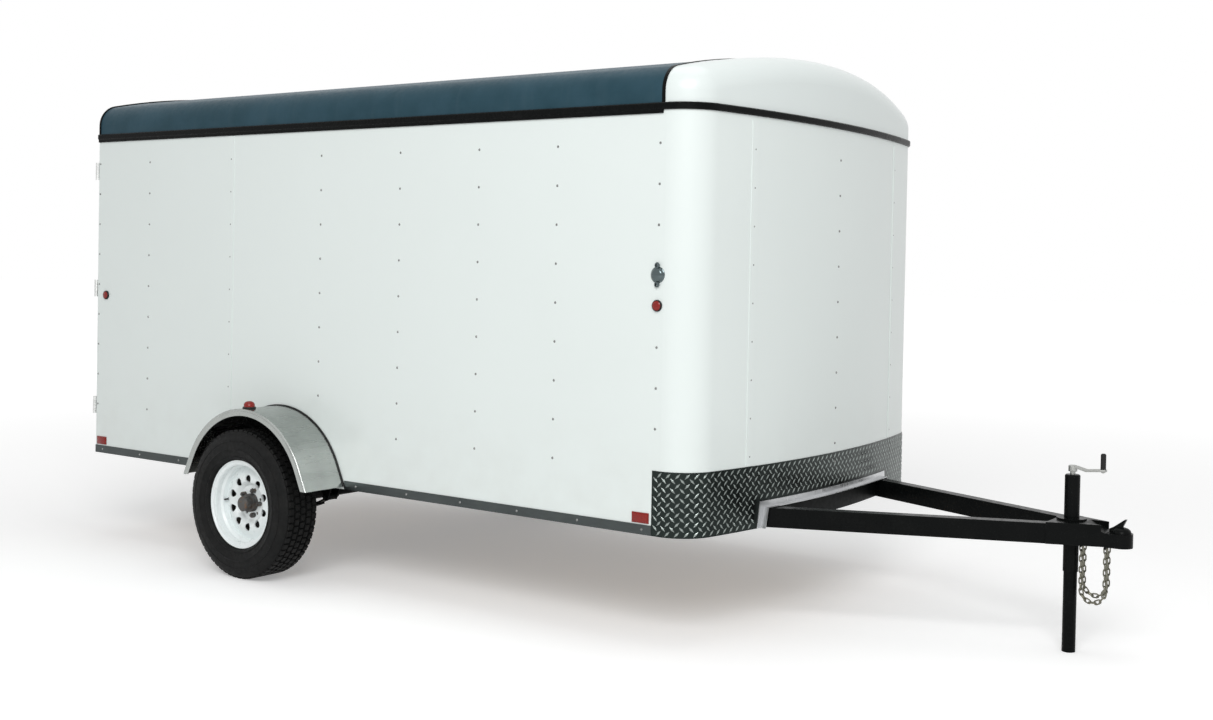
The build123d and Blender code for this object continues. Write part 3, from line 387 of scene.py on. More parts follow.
def grown(name, tree, source, finish, sizes):
    """Mesh that a pattern makes from a source mesh and its sizes."""
    maker = place_object(f"{name}_maker", source)
    modifier = maker.modifiers.new("pattern", "NODES")
    modifier.node_group = tree
    values = {**sizes, "Finish": finish}
    for item in tree.interface.items_tree:
        if item.in_out == "INPUT" and item.name in values:
            modifier[item.identifier] = values[item.name]
    return plain_mesh(name, maker)


def marked_points(name, rows):
    """Mesh of points, each row (place, outward, along)."""
    mesh = bpy.data.meshes.new(name)
    mesh.from_pydata([row[0] for row in rows], [], [])
    for column, label in ((1, "outward"), (2, "along")):
        values = mesh.attributes.new(label, "FLOAT_VECTOR", "POINT").data
        for value, row in zip(values, rows):
            value.vector = row[column]
    return mesh


def lathe(shape, profile, centre, axis, steps):
    """Add a turned form of rows (distance along the axis, radius).

    A profile that starts on the axis ends there too. Any other one closes on itself, as a ring.
    """
    axis = Vector(axis).normalized()
    first = axis.orthogonal().normalized()
    second = axis.cross(first)
    hoops = []
    for along, radius in profile:
        spot = Vector(centre) + along * axis
        count = steps if radius else 1
        turns = [tau * step / steps for step in range(count)]
        hoops.append([shape.verts.new(spot + radius * (cos(t) * first + sin(t) * second)) for t in turns])
    made = []
    ring = profile[0][1] > 0
    for near, far in zip(hoops, hoops[1:] + hoops[:1] if ring else hoops[1:]):
        for step in range(steps):
            after = step + 1
            corners = (
                near[step % len(near)], near[after % len(near)], far[after % len(far)], far[step % len(far)]
            )
            made.append(shape.faces.new(list(dict.fromkeys(corners))))
    bmesh.ops.recalc_face_normals(shape, faces=made)


def soft_box(shape, low, high, rounding, steps=2):
    """Add a box with rounded edges."""
    middle = (Vector(low) + Vector(high)) / 2
    size = Vector(high) - Vector(low)
    place = Matrix.Translation(middle) @ Matrix.Diagonal((*size, 1))
    verts = bmesh.ops.create_cube(shape, size=1, matrix=place)["verts"]
    edges = dict.fromkeys(edge for vert in verts for edge in vert.link_edges)
    bmesh.ops.bevel(shape, geom=list(edges), offset=rounding, segments=steps, affect="EDGES", profile=0.5)


def side_box(shape, side, x, z, thickness, rounding):
    """Add a rounded box on a side wall, between two places along x and z."""
    near, far = side * HALF_WIDTH, side * (HALF_WIDTH + thickness)
    soft_box(shape, (x[0], min(near, far), z[0]), (x[1], max(near, far), z[1]), rounding)


def tube(name, points, radius, cyclic=False):
    """Mesh of a round bead along a line of points."""
    curve = bpy.data.curves.new(f"{name}_line", "CURVE")
    curve.dimensions = "3D"
    curve.bevel_depth = radius
    curve.bevel_resolution = 2
    curve.use_fill_caps = not cyclic
    line = curve.splines.new("POLY")
    line.points.add(len(points) - 1)
    line.use_cyclic_u = cyclic
    for spot, place in zip(line.points, points):
        spot.co = (*place, 1)
    return plain_mesh(name, place_object(f"{name}_maker", curve))


def mesh_of(name, shape):
    mesh = bpy.data.meshes.new(name)
    shape.to_mesh(mesh)
    shape.free()
    return mesh


def add_piece(name, mesh, body, slot, finish=None, instead_of=(), crease=35):
    """Show a finished mesh as a piece of a body."""
    mesh.materials.clear()
    mesh.materials.append(finish or FINISHES[slot])
    mesh.shade_smooth()
    mesh.set_sharp_from_angle(angle=radians(crease))
    made = place_object(name, mesh)
    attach(made, body)
    if instead_of:
        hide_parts(*instead_of)


def add_shape(name, shape, body, slot, **how):
    """Show a finished shape as a piece of a body."""
    add_piece(name, mesh_of(name, shape), body, slot, **how)


def add_stamped(name, tree, rows, sizes, body, slot, finish, **how):
    """Show a pattern that is stamped on rows of points as a piece of a body."""
    mesh = grown(name, tree, marked_points(f"{name}_places", rows), finish, sizes)
    add_piece(name, mesh, body, slot, finish, **how)


def add_bead(name, points, radius, slot):
    """Show a round bead along a line of points as a piece of the trailer's body."""
    add_piece(name, tube(name, points, radius), BODY, slot, crease=60)


# Finishes


def white_sheet(name, colour, wave):
    """Painted sheet with the shallow waves that thin panels show, and road dust low down."""
    paint = Finish(name, colour, 0.3, Coat_Weight=0.2, Coat_Roughness=0.1)
    low_down = paint.spread(paint.height(), 0.9, 0.42)
    dust = paint.maths("MULTIPLY", low_down, paint.spread(paint.noise(9, 6), 0.35, 0.75))
    base = paint.mix(paint.spread(paint.noise(1.6, 3), 0.3, 0.7), tuple(0.985 * c for c in colour), colour)
    paint.colour(paint.mix(paint.maths("MULTIPLY", dust, 0.12), base, (0.42, 0.39, 0.34)))
    paint.rough(paint.spread(paint.noise(3, 2), 0.1, 0.9, 0.27, 0.35))
    paint.bump(paint.noise(2.2, 2, along=paint.stretched((1.0, 1.0, 0.6))), wave, 0.02)
    return paint.material


def roof_sheet():
    """Dark blue-grey satin metal with faint mottling and streaks along the rain's way."""
    metal = Finish("roof_satin", (0.024, 0.06, 0.08), 0.45, 0.15, Specular_IOR_Level=0.1)
    streak = metal.noise(14, 3, along=metal.stretched((1.0, 0.15, 0.15)))
    tone = metal.mix(metal.spread(metal.noise(7, 6), 0.3, 0.7), (0.02, 0.055, 0.075), (0.03, 0.072, 0.098))
    metal.colour(metal.mix(metal.spread(streak, 0.55, 0.8, 0, 0.35), tone, (0.05, 0.09, 0.11)))
    metal.rough(metal.spread(metal.noise(60, 4), 0.3, 0.7, 0.36, 0.5))
    metal.bump(metal.noise(3, 2), 0.12, 0.02)
    metal.bump(metal.noise(600, 2), 0.05, 0.0006)
    return metal.material


def black_paint(name, roughness, dust):
    """Black enamel with orange peel, dust on its flats and bare edges."""
    black = (0.003, 0.0036, 0.0036)
    paint = Finish(name, black, roughness, Specular_IOR_Level=0.06)
    worn = paint.maths("MULTIPLY", paint.edges(), paint.spread(paint.noise(45, 5), 0.5, 0.7))
    dusty = paint.spread(paint.noise(12, 6), 0.45, 0.8, 0, dust)
    tone = paint.mix(dusty, black, (0.04, 0.038, 0.035))
    paint.colour(paint.mix(paint.maths("MULTIPLY", worn, 0.3), tone, (0.09, 0.087, 0.083)))
    paint.rough(paint.spread(paint.noise(50, 4), 0.3, 0.7, roughness - 0.06, roughness + 0.1))
    paint.bump(paint.noise(260, 2), 0.06, 0.0008)
    return paint.material


def bright_metal(name, colour, roughness, grain, along):
    """Brushed or rolled metal: fine grain along one way, with stains and handling marks."""
    metal = Finish(name, colour, roughness, 1.0)
    lines = metal.noise(grain, 4, along=metal.stretched(along))
    stain = metal.spread(metal.noise(6, 6), 0.4, 0.75, 0, 0.6)
    metal.colour(metal.mix(stain, colour, tuple(0.72 * c for c in colour)))
    metal.rough(metal.spread(lines, 0.25, 0.75, roughness - 0.08, roughness + 0.12))
    metal.bump(lines, 0.02, 0.0006)
    return metal.material


def zinc_plate(name, colour, roughness):
    """Zinc plate with a fine spangle and dull patches."""
    metal = Finish(name, colour, roughness, 1.0)
    spangle = metal.node("ShaderNodeRGBToBW", Color=metal.cells(240)).outputs["Val"]
    bright = tuple(min(1.0, 1.18 * c) for c in colour)
    metal.colour(metal.mix(spangle, tuple(0.8 * c for c in colour), bright))
    metal.rough(metal.spread(metal.noise(40, 5), 0.3, 0.7, roughness - 0.1, roughness + 0.12))
    metal.bump(metal.noise(300, 3), 0.08, 0.0005)
    return metal.material


def plywood():
    """Floor board: long grain, darker growth bands and scuffs."""
    wood = Finish("floor_plywood", (0.5, 0.36, 0.21), 0.62)
    grain = wood.noise(26, 6, along=wood.stretched((0.12, 1.0, 1.0)))
    bands = wood.noise(5, 3, along=wood.stretched((0.2, 1.6, 1.0)))
    tone = wood.mix(wood.spread(grain, 0.3, 0.7), (0.42, 0.29, 0.16), (0.6, 0.45, 0.28))
    wood.colour(wood.mix(wood.spread(bands, 0.45, 0.7, 0, 0.5), tone, (0.36, 0.24, 0.13)))
    wood.rough(wood.spread(grain, 0.3, 0.7, 0.5, 0.72))
    wood.bump(grain, 0.15, 0.001)
    return wood.material


def tyre_rubber():
    """Black rubber, greyer where dust lies, with a fine grain."""
    rubber = Finish("tyre_rubber", (0.006, 0.0063, 0.0063), 0.6, Specular_IOR_Level=0.16)
    dust = rubber.spread(rubber.noise(18, 6), 0.45, 0.8, 0, 0.5)
    rubber.colour(rubber.mix(dust, (0.005, 0.0053, 0.0053), (0.016, 0.0155, 0.0145)))
    rubber.rough(rubber.spread(rubber.noise(70, 4), 0.3, 0.7, 0.52, 0.74))
    rubber.bump(rubber.noise(500, 3), 0.12, 0.0006)
    return rubber.material


def wheel_paint():
    """White enamel on a pressed wheel, dusty in its dishes, with painted shade on the barrel's inner half and
    on faces turned inward behind the disc.
    """
    white = (0.86, 0.91, 0.91)
    paint = Finish("wheel_white", white, 0.3, Coat_Weight=0.25, Coat_Roughness=0.1)
    dust = paint.spread(paint.noise(22, 6), 0.5, 0.8, 0, 0.1)
    front = paint.mix(dust, white, (0.34, 0.31, 0.27))
    across = paint.node("ShaderNodeSeparateXYZ", Vector=paint.place).outputs["Y"]
    # Painted shade: the barrel's inner half is darkened as if the underbody shaded it.
    shaded_inner_half = paint.spread(paint.maths("ABSOLUTE", across, 0), WHEEL_Y + 0.006, WHEEL_Y - 0.006)
    normal = paint.node("ShaderNodeNewGeometry").outputs["Normal"]
    facing = paint.node("ShaderNodeSeparateXYZ", Vector=normal).outputs["Y"]
    # Painted shade: faces turned inward, seen through the vents, are darkened too.
    turned = paint.spread(paint.maths("MULTIPLY", facing, paint.maths("SIGN", across, 0)), -0.1, -0.3)
    shade_behind_disc = paint.maths("MAXIMUM", shaded_inner_half, turned)
    # Near-black painted shade behind the disc, laid over the dusty white.
    paint.colour(paint.mix(shade_behind_disc, front, (0.07, 0.066, 0.06)))
    paint.rough(paint.spread(paint.noise(60, 4), 0.3, 0.7, 0.24, 0.38))
    paint.bump(paint.noise(300, 2), 0.04, 0.0006)
    return paint.material


def dark_iron(name, level):
    """Bare forged iron with surface rust, at a level of brightness."""
    bare = tuple(level * c for c in (0.1, 0.098, 0.095))
    rusty = tuple(level * c for c in (0.19, 0.1, 0.05))
    iron = Finish(name, bare, 0.55, 0.7)
    rust = iron.spread(iron.noise(55, 7), 0.52, 0.72, 0, 0.8)
    iron.colour(iron.mix(rust, bare, rusty))
    iron.rough(iron.spread(iron.noise(90, 4), 0.3, 0.7, 0.45, 0.72))
    iron.bump(iron.noise(220, 4), 0.2, 0.0008)
    return iron.material


def lens(name, colour):
    """Moulded lens with prisms behind a smooth face."""
    plastic = Finish(name, colour, 0.12, Specular_IOR_Level=0.3, Coat_Weight=0.1)
    prism = plastic.cells(260, "Distance")
    plastic.colour(plastic.mix(plastic.spread(prism, 0.1, 0.6), tuple(0.55 * c for c in colour), colour))
    plastic.rough(plastic.spread(plastic.noise(80, 3), 0.3, 0.7, 0.1, 0.2))
    plastic.bump(prism, 0.12, 0.0006)
    return plastic.material


def chrome():
    """Bright plating coloured dark, a painted reflection of dark surroundings, with fine wipe marks."""
    # Both tones sit far below real plating: painted dark reflection of the surroundings.
    bright, dull = (0.1, 0.125, 0.13), (0.025, 0.032, 0.034)
    metal = Finish("bright_chrome", bright, 0.09, 1.0)
    metal.rough(metal.spread(metal.noise(45, 6), 0.35, 0.75, 0.05, 0.22))
    metal.colour(metal.mix(metal.spread(metal.noise(20, 5), 0.5, 0.8, 0, 0.4), bright, dull))
    metal.bump(metal.noise(160, 3), 0.02, 0.0004)
    return metal.material


def grip_plastic():
    """Matte black plastic with a moulded grain."""
    plastic = Finish("grip_plastic", (0.012, 0.012, 0.012), 0.5, Specular_IOR_Level=0.25)
    faded = plastic.spread(plastic.noise(30, 5), 0.4, 0.8, 0, 0.5)
    plastic.colour(plastic.mix(faded, (0.01, 0.01, 0.01), (0.03, 0.03, 0.03)))
    plastic.rough(plastic.spread(plastic.noise(90, 4), 0.3, 0.7, 0.42, 0.6))
    plastic.bump(plastic.noise(700, 2), 0.2, 0.0004)
    return plastic.material


FINISHES = {
    "white_skin": white_sheet("wall_white", (0.78, 0.84, 0.82), 0.1),
    "nose_white": white_sheet("nose_white", (0.76, 0.82, 0.805), 0.03),
    "roof_metal": roof_sheet(),
    "black_paint": black_paint("trim_black", 0.26, 0.05),
    "frame_paint": black_paint("frame_black", 0.42, 0.12),
    # Tread plate base coloured near black: a painted dark reflection of the ground.
    "diamond_plate": bright_metal("diamond_plate", (0.024, 0.031, 0.029), 0.26, 40, (1, 1, 0.2)),
    "fender_metal": bright_metal("fender_stainless", (0.4, 0.42, 0.405), 0.24, 60, (0.6, 0.05, 0.6)),
    "rail_grey": bright_metal("rail_grey", (0.075, 0.085, 0.085), 0.4, 60, (0.1, 1, 1)),
    "plywood": plywood(),
    "tyre_rubber": tyre_rubber(),
    "wheel_white": wheel_paint(),
    "hub_metal": dark_iron("hub_iron", 1.0),
    "zinc": zinc_plate("zinc_plate", (0.36, 0.365, 0.35), 0.36),
    "chrome_trim": chrome(),
    "red_lens": lens("red_lens", (0.26, 0.011, 0.007)),
    "black_plastic": grip_plastic(),
}
# Lozenge tops are the plate's own metal made lighter: a painted highlight.
DIAMOND_TOPS_HIGHLIGHT = bright_metal("diamond_tops", (0.29, 0.325, 0.31), 0.22, 60, (1, 1, 1))
CHAIN_ZINC = zinc_plate("chain_zinc", (0.17, 0.165, 0.13), 0.28)
# Iron at a third of the hub's brightness: the drum is a dark piece for painted shade behind the vents.
SHADE_DRUM_IRON = dark_iron("drum_iron", 0.3)
SCREW_STEEL = zinc_plate("screw_steel", (0.22, 0.225, 0.22), 0.35)
HINGE_ZINC = zinc_plate("hinge_zinc", (0.66, 0.67, 0.66), 0.36)
EDGE_ALUMINIUM = bright_metal("edge_aluminium", (0.62, 0.63, 0.64), 0.3, 70, (1, 1, 0.15))

for part in frame["record"]["subparts"]:
    solid = NODES[part["node"]]
    solid.data.materials.clear()
    solid.data.materials.append(FINISHES[part["material_slot"]])
NODES["tongue_trim"].data.materials[0] = EDGE_ALUMINIUM
for node in ("hinge_brackets", "door_hinges_left", "door_hinges_right"):
    NODES[node].data.materials[0] = HINGE_ZINC


# Screws and tread plate: studs are placed from the rear end, rows of screws from the walls' top

SCREWS = screw_pattern()
SCREW_SIZES = {"Head Radius": 0.0054, "Head Height": 0.0026}
STUD_PLACES = (0.012, 0.416, 1.030, 1.641, 2.127, 2.572, 2.980, 3.466)
STUD_SCREWS = 9
SIDE_FIRST, SIDE_STEP = 0.150, 0.1524
FRONT_FIRST, FRONT_STEP = 0.155, 0.1474
STRIP_PLACES = [0.06 + 0.305 * step for step in range(12)]
STRIP_SCREW_RISE = 0.019
GUARD_SCREW_DROP = 0.040
FENDER_SPAN, FENDER_CLEAR = (0.960, 1.850), 0.80
FIXTURE_SPAN = (1.19, 1.45)
GUARD_CLEAR_X, GUARD_CLEAR_Z = 0.020, 0.012
DIAMOND_SIZES = {"Length": 0.0290, "Width": 0.0088, "Height": 0.0016}
DIAMOND_STEP = 0.018
DIAMOND_END, DIAMOND_MARGINS = 0.012, 0.026


def wall_screws():
    """Screws down the studs of both walls, down the front's studs, and along the guard and bottom strips."""
    rows = []
    for side in SIDES.values():
        out = Vector((0, side, 0))
        for stud in STUD_PLACES:
            for step in range(STUD_SCREWS):
                height = WALL_TOP - SIDE_FIRST - step * SIDE_STEP
                behind_fender = FENDER_SPAN[0] < stud < FENDER_SPAN[1] and height < FENDER_CLEAR
                by_fixture = stud == STUD_PLACES[-1] and FIXTURE_SPAN[0] < height < FIXTURE_SPAN[1]
                by_guard = REAR_X + stud > GUARD_X - GUARD_CLEAR_X and height < GUARD_TOP + GUARD_CLEAR_Z
                if not (behind_fender or by_fixture or by_guard):
                    rows.append(((REAR_X + stud, side * HALF_WIDTH, height), out, UP))
        rows += [
            ((REAR_X + x, side * (HALF_WIDTH + STRIP_PROUD), BOX_BOTTOM + STRIP_SCREW_RISE), out, UP)
            for x in STRIP_PLACES if not FENDER_SPAN[0] < x < FENDER_SPAN[1]
        ]
    for along in (-PANEL_HALF, 0, PANEL_HALF):
        for step in range(STUD_SCREWS):
            rows.append((*round_front(along, WALL_TOP - FRONT_FIRST - step * FRONT_STEP), UP))
        rows.append((*round_front(along, GUARD_TOP - GUARD_SCREW_DROP, GUARD_SHEET), UP))
    return rows


def guard_diamonds():
    """Rows of lozenges round the stone guard, and between them rows that lean the other way."""
    columns = int((side_run(GUARD_X) - DIAMOND_END) / DIAMOND_STEP)
    levels = int((GUARD_TOP - BOX_BOTTOM - DIAMOND_MARGINS) / DIAMOND_STEP) + 1
    foot = (GUARD_TOP + BOX_BOTTOM - (levels - 1) * DIAMOND_STEP) / 2
    rows = []
    for column in range(-columns, columns + 1):
        for level in range(levels):
            height = foot + level * DIAMOND_STEP
            spot, out = round_front(column * DIAMOND_STEP, height, GUARD_SHEET)
            if (column + level) % 2 or abs(spot.y) < TRIM_HALF and height < TRIM_TOP:
                continue
            lean = 1 if level % 2 else -1
            rows.append((spot, out, UP + lean * out.cross(UP)))
    return rows


# Wheels

HALF_CARCASS = (
    # across the tyre, radius: from the bead over the side to the tread's edge
    (0.0670, 0.1785), (0.0705, 0.1985), (0.0800, 0.2000), (0.0890, 0.2050), (0.0925, 0.2110),
    (0.0900, 0.2150), (0.0975, 0.2300), (0.1000, 0.2420), (0.1025, 0.2440), (0.1025, 0.2480),
    (0.1004, 0.2500), (0.1002, 0.2660), (0.0975, 0.2800), (0.0992, 0.2815), (0.0984, 0.2850),
    (0.0960, 0.2860), (0.0925, 0.3010), (0.0870, 0.3130), (0.0780, 0.3225),
)
CARCASS = [(-across, radius) for across, radius in HALF_CARCASS] + list(reversed(HALF_CARCASS))
BARREL = (
    # across the wheel, radius: the rolled lips, the bead seats and the drop centre, then back inside
    (0.0725, 0.1925), (0.0760, 0.1938), (0.0765, 0.1955), (0.0735, 0.1950), (0.0690, 0.1900),
    (0.0680, 0.1772), (0.0420, 0.1770), (0.0330, 0.1690), (-0.0150, 0.1690), (-0.0240, 0.1770),
    (-0.0680, 0.1772), (-0.0690, 0.1900), (-0.0735, 0.1950), (-0.0765, 0.1955), (-0.0760, 0.1938),
    (-0.0725, 0.1925), (-0.0660, 0.1870), (-0.0645, 0.1740), (-0.0230, 0.1735), (-0.0140, 0.1655),
    (0.0320, 0.1655), (0.0410, 0.1735), (0.0645, 0.1740), (0.0660, 0.1870),
)
DISC = (
    # outward, radius: the pressed disc's face from the hub to the barrel, then its back
    (0.0060, 0.0415), (0.0060, 0.0780), (0.0100, 0.0830), (0.0240, 0.0910), (0.0290, 0.0960),
    (0.0310, 0.1020), (0.0310, 0.1160), (0.0290, 0.1230), (0.0240, 0.1330), (0.0140, 0.1520),
    (0.0100, 0.1600), (0.0090, 0.1660), (0.0030, 0.1660), (0.0040, 0.1580), (0.0090, 0.1480),
    (0.0190, 0.1290), (0.0240, 0.1200), (0.0260, 0.1140), (0.0260, 0.1040), (0.0240, 0.0990),
    (0.0190, 0.0950), (0.0050, 0.0870), (0.0010, 0.0800), (0.0010, 0.0415),
)
VENTS = {"count": 10, "circle": 0.108, "radius": 0.0172}
LUGS = {"count": 5, "circle": 0.05715, "radius": 0.0075}
HOLE_REACH = (-0.02, 0.06)
SHADE_DRUM = (
    # outward, radius: the dark drum's face and lip behind the disc, then its inside; it puts painted shade
    # behind the vents
    (-0.0015, 0.044), (-0.0015, 0.122), (-0.0060, 0.127), (-0.0460, 0.127), (-0.0480, 0.131),
    (-0.0520, 0.131), (-0.0520, 0.120), (-0.0100, 0.120), (-0.0100, 0.044),
)
GREASE_CAP = (
    (0.030, 0.0), (0.030, 0.0312), (0.054, 0.0312), (0.0555, 0.0325), (0.058, 0.0325), (0.0595, 0.0308),
    (0.0635, 0.0265), (0.0660, 0.0160), (0.0668, 0.0),
)
VALVE_STEM = (
    (0.004, 0.0), (0.004, 0.0075), (0.014, 0.0065), (0.017, 0.0040), (0.036, 0.0036), (0.037, 0.0),
)
VALVE_CIRCLE = 0.152
WHEEL_STEPS = 96
TREAD = tread_pattern()
TREAD_INSET = 0.0007
TREAD_SIZES = {
    "Radius": TYRE_RADIUS - TREAD_INSET, "Blocks": 64, "Rows": 5, "Row Pitch": 0.0315,
    "Block Length": 0.0270, "Block Width": 0.0255, "Block Depth": 0.0095,
}


def wheel_place(side):
    """A wheel's centre and the way out from it."""
    return Vector((AXLE_X, side * WHEEL_Y, TYRE_RADIUS)), Vector((0, side, 0))


def around(centre, circle, count, first=0.0):
    """Places on an upright circle."""
    turns = [first + tau * step / count for step in range(count)]
    return [centre + circle * Vector((cos(turn), 0, sin(turn))) for turn in turns]


def add_tyre(label, side):
    """Carcass with raised rings on its sides, and blocks of tread round it."""
    name = f"tyre_{label}"
    centre, out = wheel_place(side)
    shape = bmesh.new()
    lathe(shape, CARCASS, centre, out, WHEEL_STEPS)
    source = mesh_of(f"{name}_carcass", shape)
    sizes = {"Centre": centre, **TREAD_SIZES}
    mesh = grown(f"{name}_treaded", TREAD, source, FINISHES["tyre_rubber"], sizes)
    add_piece(f"{name}_treaded", mesh, f"{label}_wheel", "tyre_rubber", instead_of=(name,), crease=40)


def add_wheel(label, side):
    """Pressed disc, pierced by vents and lug holes, in a rolled barrel."""
    name = f"rim_{label}"
    centre, out = wheel_place(side)
    shape = bmesh.new()
    lathe(shape, DISC, centre, out, WHEEL_STEPS)
    disc = place_object(f"{name}_disc", mesh_of(f"{name}_disc", shape))
    cutter_shape = bmesh.new()
    near, far = HOLE_REACH
    for holes in (VENTS, LUGS):
        radius = holes["radius"]
        hole = ((near, 0), (near, radius), (far, radius), (far, 0))
        for spot in around(centre, holes["circle"], holes["count"], pi / 2):
            lathe(cutter_shape, hole, spot, out, steps=20)
    cutter = place_object(f"{name}_holes", mesh_of(f"{name}_holes", cutter_shape))
    cut = disc.modifiers.new("holes", "BOOLEAN")
    cut.operation, cut.solver, cut.object = "DIFFERENCE", "EXACT", cutter
    shape = bmesh.new()
    shape.from_mesh(plain_mesh(f"{name}_pierced", disc))
    bpy.data.objects.remove(cutter)
    lathe(shape, BARREL, centre, out, WHEEL_STEPS)
    add_shape(f"{name}_pressed", shape, f"{label}_wheel", "wheel_white", instead_of=(name,), crease=30)


def add_hub_fittings(label, side):
    """Dark drum behind the wheel's disc that shows as painted shade through the vents, grease cap over the
    hub and the tyre's valve.
    """
    centre, out = wheel_place(side)
    for name, profile, spot, steps, slot, finish in (
        ("drum", SHADE_DRUM, centre, 48, "hub_metal", SHADE_DRUM_IRON),
        ("grease_cap", GREASE_CAP, centre, 40, "hub_metal", None),
        ("valve", VALVE_STEM, centre + VALVE_CIRCLE * REARWARD, 16, "black_plastic", None),
    ):
        shape = bmesh.new()
        lathe(shape, profile, spot, out, steps)
        add_shape(f"{name}_{label}", shape, f"{label}_wheel", slot, finish=finish)


# Chains

LINK_SIZES = {"Length": 0.0332, "Width": 0.0200, "Wire": 0.0060}


def link_places():
    """Middle, face and length of each link, from the loose shapes of the chains' solid."""
    shape = bmesh.new()
    shape.from_mesh(NODES["safety_chains"].data)
    bmesh.ops.remove_doubles(shape, verts=shape.verts, dist=1e-6)
    seen, rows = set(), []
    for first in shape.verts:
        if first in seen:
            continue
        seen.add(first)
        island = [first]
        for vert in island:
            for line in vert.link_edges:
                other = line.other_vert(vert)
                if other not in seen:
                    seen.add(other)
                    island.append(other)
        places = numpy.array([vert.co for vert in island])
        outward, _, along = numpy.linalg.eigh(numpy.cov(places.T))[1].T
        rows.append((places.mean(axis=0), outward, along))
    shape.free()
    return rows


# Fenders

ARCH_STEPS = 48
BEAD_RADIUS, BEAD_OUT, BEAD_RISE = 0.0065, 0.002, 0.001
GASKET_RADIUS, GASKET_RISE = 0.004, 0.002


def fender_line(side, out, grow):
    """Points over a fender's arch and legs, at a distance out from the wall."""
    y, foot = side * (HALF_WIDTH + out), FENDER_LOW[2]
    radius = FENDER_RADIUS + grow
    turns = [FENDER_LEG + (pi - 2 * FENDER_LEG) * step / ARCH_STEPS for step in range(ARCH_STEPS + 1)]
    arch = [Vector((FENDER_X + radius * cos(turn), y, FENDER_MIDDLE + radius * sin(turn))) for turn in turns]
    run = (arch[0].z - foot) * tan(FENDER_LEG)
    return [Vector((arch[0].x + run, y, foot)), *arch, Vector((arch[-1].x - run, y, foot))]


def add_fender_edges(label, side):
    """Rolled outer edge and the black gasket along the wall."""
    out = FENDER_HIGH[1] - HALF_WIDTH - BEAD_RADIUS + BEAD_OUT
    edge = fender_line(side, out, BEAD_RISE - BEAD_RADIUS)
    add_bead(f"fender_bead_{label}", edge, BEAD_RADIUS, "fender_metal")
    seam = fender_line(side, GASKET_RADIUS, GASKET_RISE)
    add_bead(f"fender_gasket_{label}", seam, GASKET_RADIUS, "black_plastic")


# Lamps and fittings

MARKERS = ((REAR_X + 0.073, 1.222), (SEAM_X - 0.012, 1.280))
GROMMET = (
    # distance out, radius, here and in the profiles below
    (0.0, 0.0180), (0.0, 0.0220), (0.0050, 0.0220), (0.0075, 0.0206), (0.0080, 0.0188), (0.0050, 0.0180),
)
MARKER_LENS = (
    (0.0, 0.0), (0.0, 0.0181), (0.0078, 0.0181), (0.0106, 0.0150), (0.0122, 0.0090), (0.0126, 0.0),
)
LAMP_BASE = ((-0.004, 0.0), (-0.004, 0.0290), (0.0060, 0.0290), (0.0090, 0.0262), (0.0095, 0.0))
LAMP_DOME = (
    (0.0080, 0.0), (0.0080, 0.0245), (0.0220, 0.0235), (0.0295, 0.0180), (0.0335, 0.0090), (0.0345, 0.0),
)
LENS_STEPS = 32
FIXTURE_DOME = (
    (0.0, 0.0), (0.0, 0.0310), (0.0025, 0.0310), (0.0045, 0.0285), (0.0050, 0.0265),
    (0.0095, 0.0245), (0.0130, 0.0195), (0.0152, 0.0110), (0.0158, 0.0),
)
FIXTURE_HEIGHT = 1.395
STRAP_WIDE, STRAP_LONG, STRAP_THICK = 0.009, 0.040, 0.006
LOOP_OUT, LOOP_PLACE, LOOP_RADIUS, LOOP_WIRE = 0.007, 0.036, 0.0085, 0.0028
REFLECTOR_LENGTH, REFLECTOR_RIM, RIM_SHARE, RIM_ROUNDING = 0.078, 0.005, 0.6, 0.0015
SOFT_EDGE = 0.002
FENDER_LAMP_OUT = 0.188
TAIL_LAMP = {"y": 0.9195, "z": 1.000, "width": 0.044, "height": 0.150, "deep": 0.014}
TOP_LAMP = {"z": 2.150, "width": 0.070, "height": 0.026, "deep": 0.012}
TOP_LAMP_PLACES = (-0.150, 0.0, 0.150)
BEZEL_DEEP, BEZEL_RIM, LENS_START = 0.006, 0.0045, 0.002


def add_side_lamps():
    """Round markers in rubber grommets, and a domed lamp on each fender."""
    lenses, rubbers = bmesh.new(), bmesh.new()
    for side in SIDES.values():
        out = (0, side, 0)
        for x, z in MARKERS:
            spot = (x, side * HALF_WIDTH, z)
            lathe(rubbers, GROMMET, spot, out, LENS_STEPS)
            lathe(lenses, MARKER_LENS, spot, out, LENS_STEPS)
        top = (FENDER_X, side * (HALF_WIDTH + FENDER_LAMP_OUT), FENDER_HIGH[2])
        lathe(rubbers, LAMP_BASE, top, UP, LENS_STEPS)
        lathe(lenses, LAMP_DOME, top, UP, LENS_STEPS)
    add_shape("marker_lenses", lenses, BODY, "red_lens", instead_of=("side_lamps",))
    add_shape("marker_grommets", rubbers, BODY, "black_plastic")


def rear_box(shape, lamp, y, inset, near, far):
    """Add a rounded box on the rear face, between two distances behind it."""
    across, up = lamp["width"] / 2 - inset, lamp["height"] / 2 - inset
    low = (REAR_X - far, y - across, lamp["z"] - up)
    soft_box(shape, low, (REAR_X - near, y + across, lamp["z"] + up), SOFT_EDGE)


def add_rear_lamps():
    """Tail lamps on the posts and a row of three over the doors, each a lens in a bezel."""
    lenses, bezels = bmesh.new(), bmesh.new()
    tails = [(TAIL_LAMP, side * TAIL_LAMP["y"]) for side in SIDES.values()]
    for lamp, y in tails + [(TOP_LAMP, place) for place in TOP_LAMP_PLACES]:
        rear_box(bezels, lamp, y, 0.0, 0.0, BEZEL_DEEP)
        rear_box(lenses, lamp, y, BEZEL_RIM, LENS_START, lamp["deep"])
    add_shape("rear_lenses", lenses, BODY, "red_lens", instead_of=("rear_lamps",))
    add_shape("rear_bezels", bezels, BODY, "black_plastic")


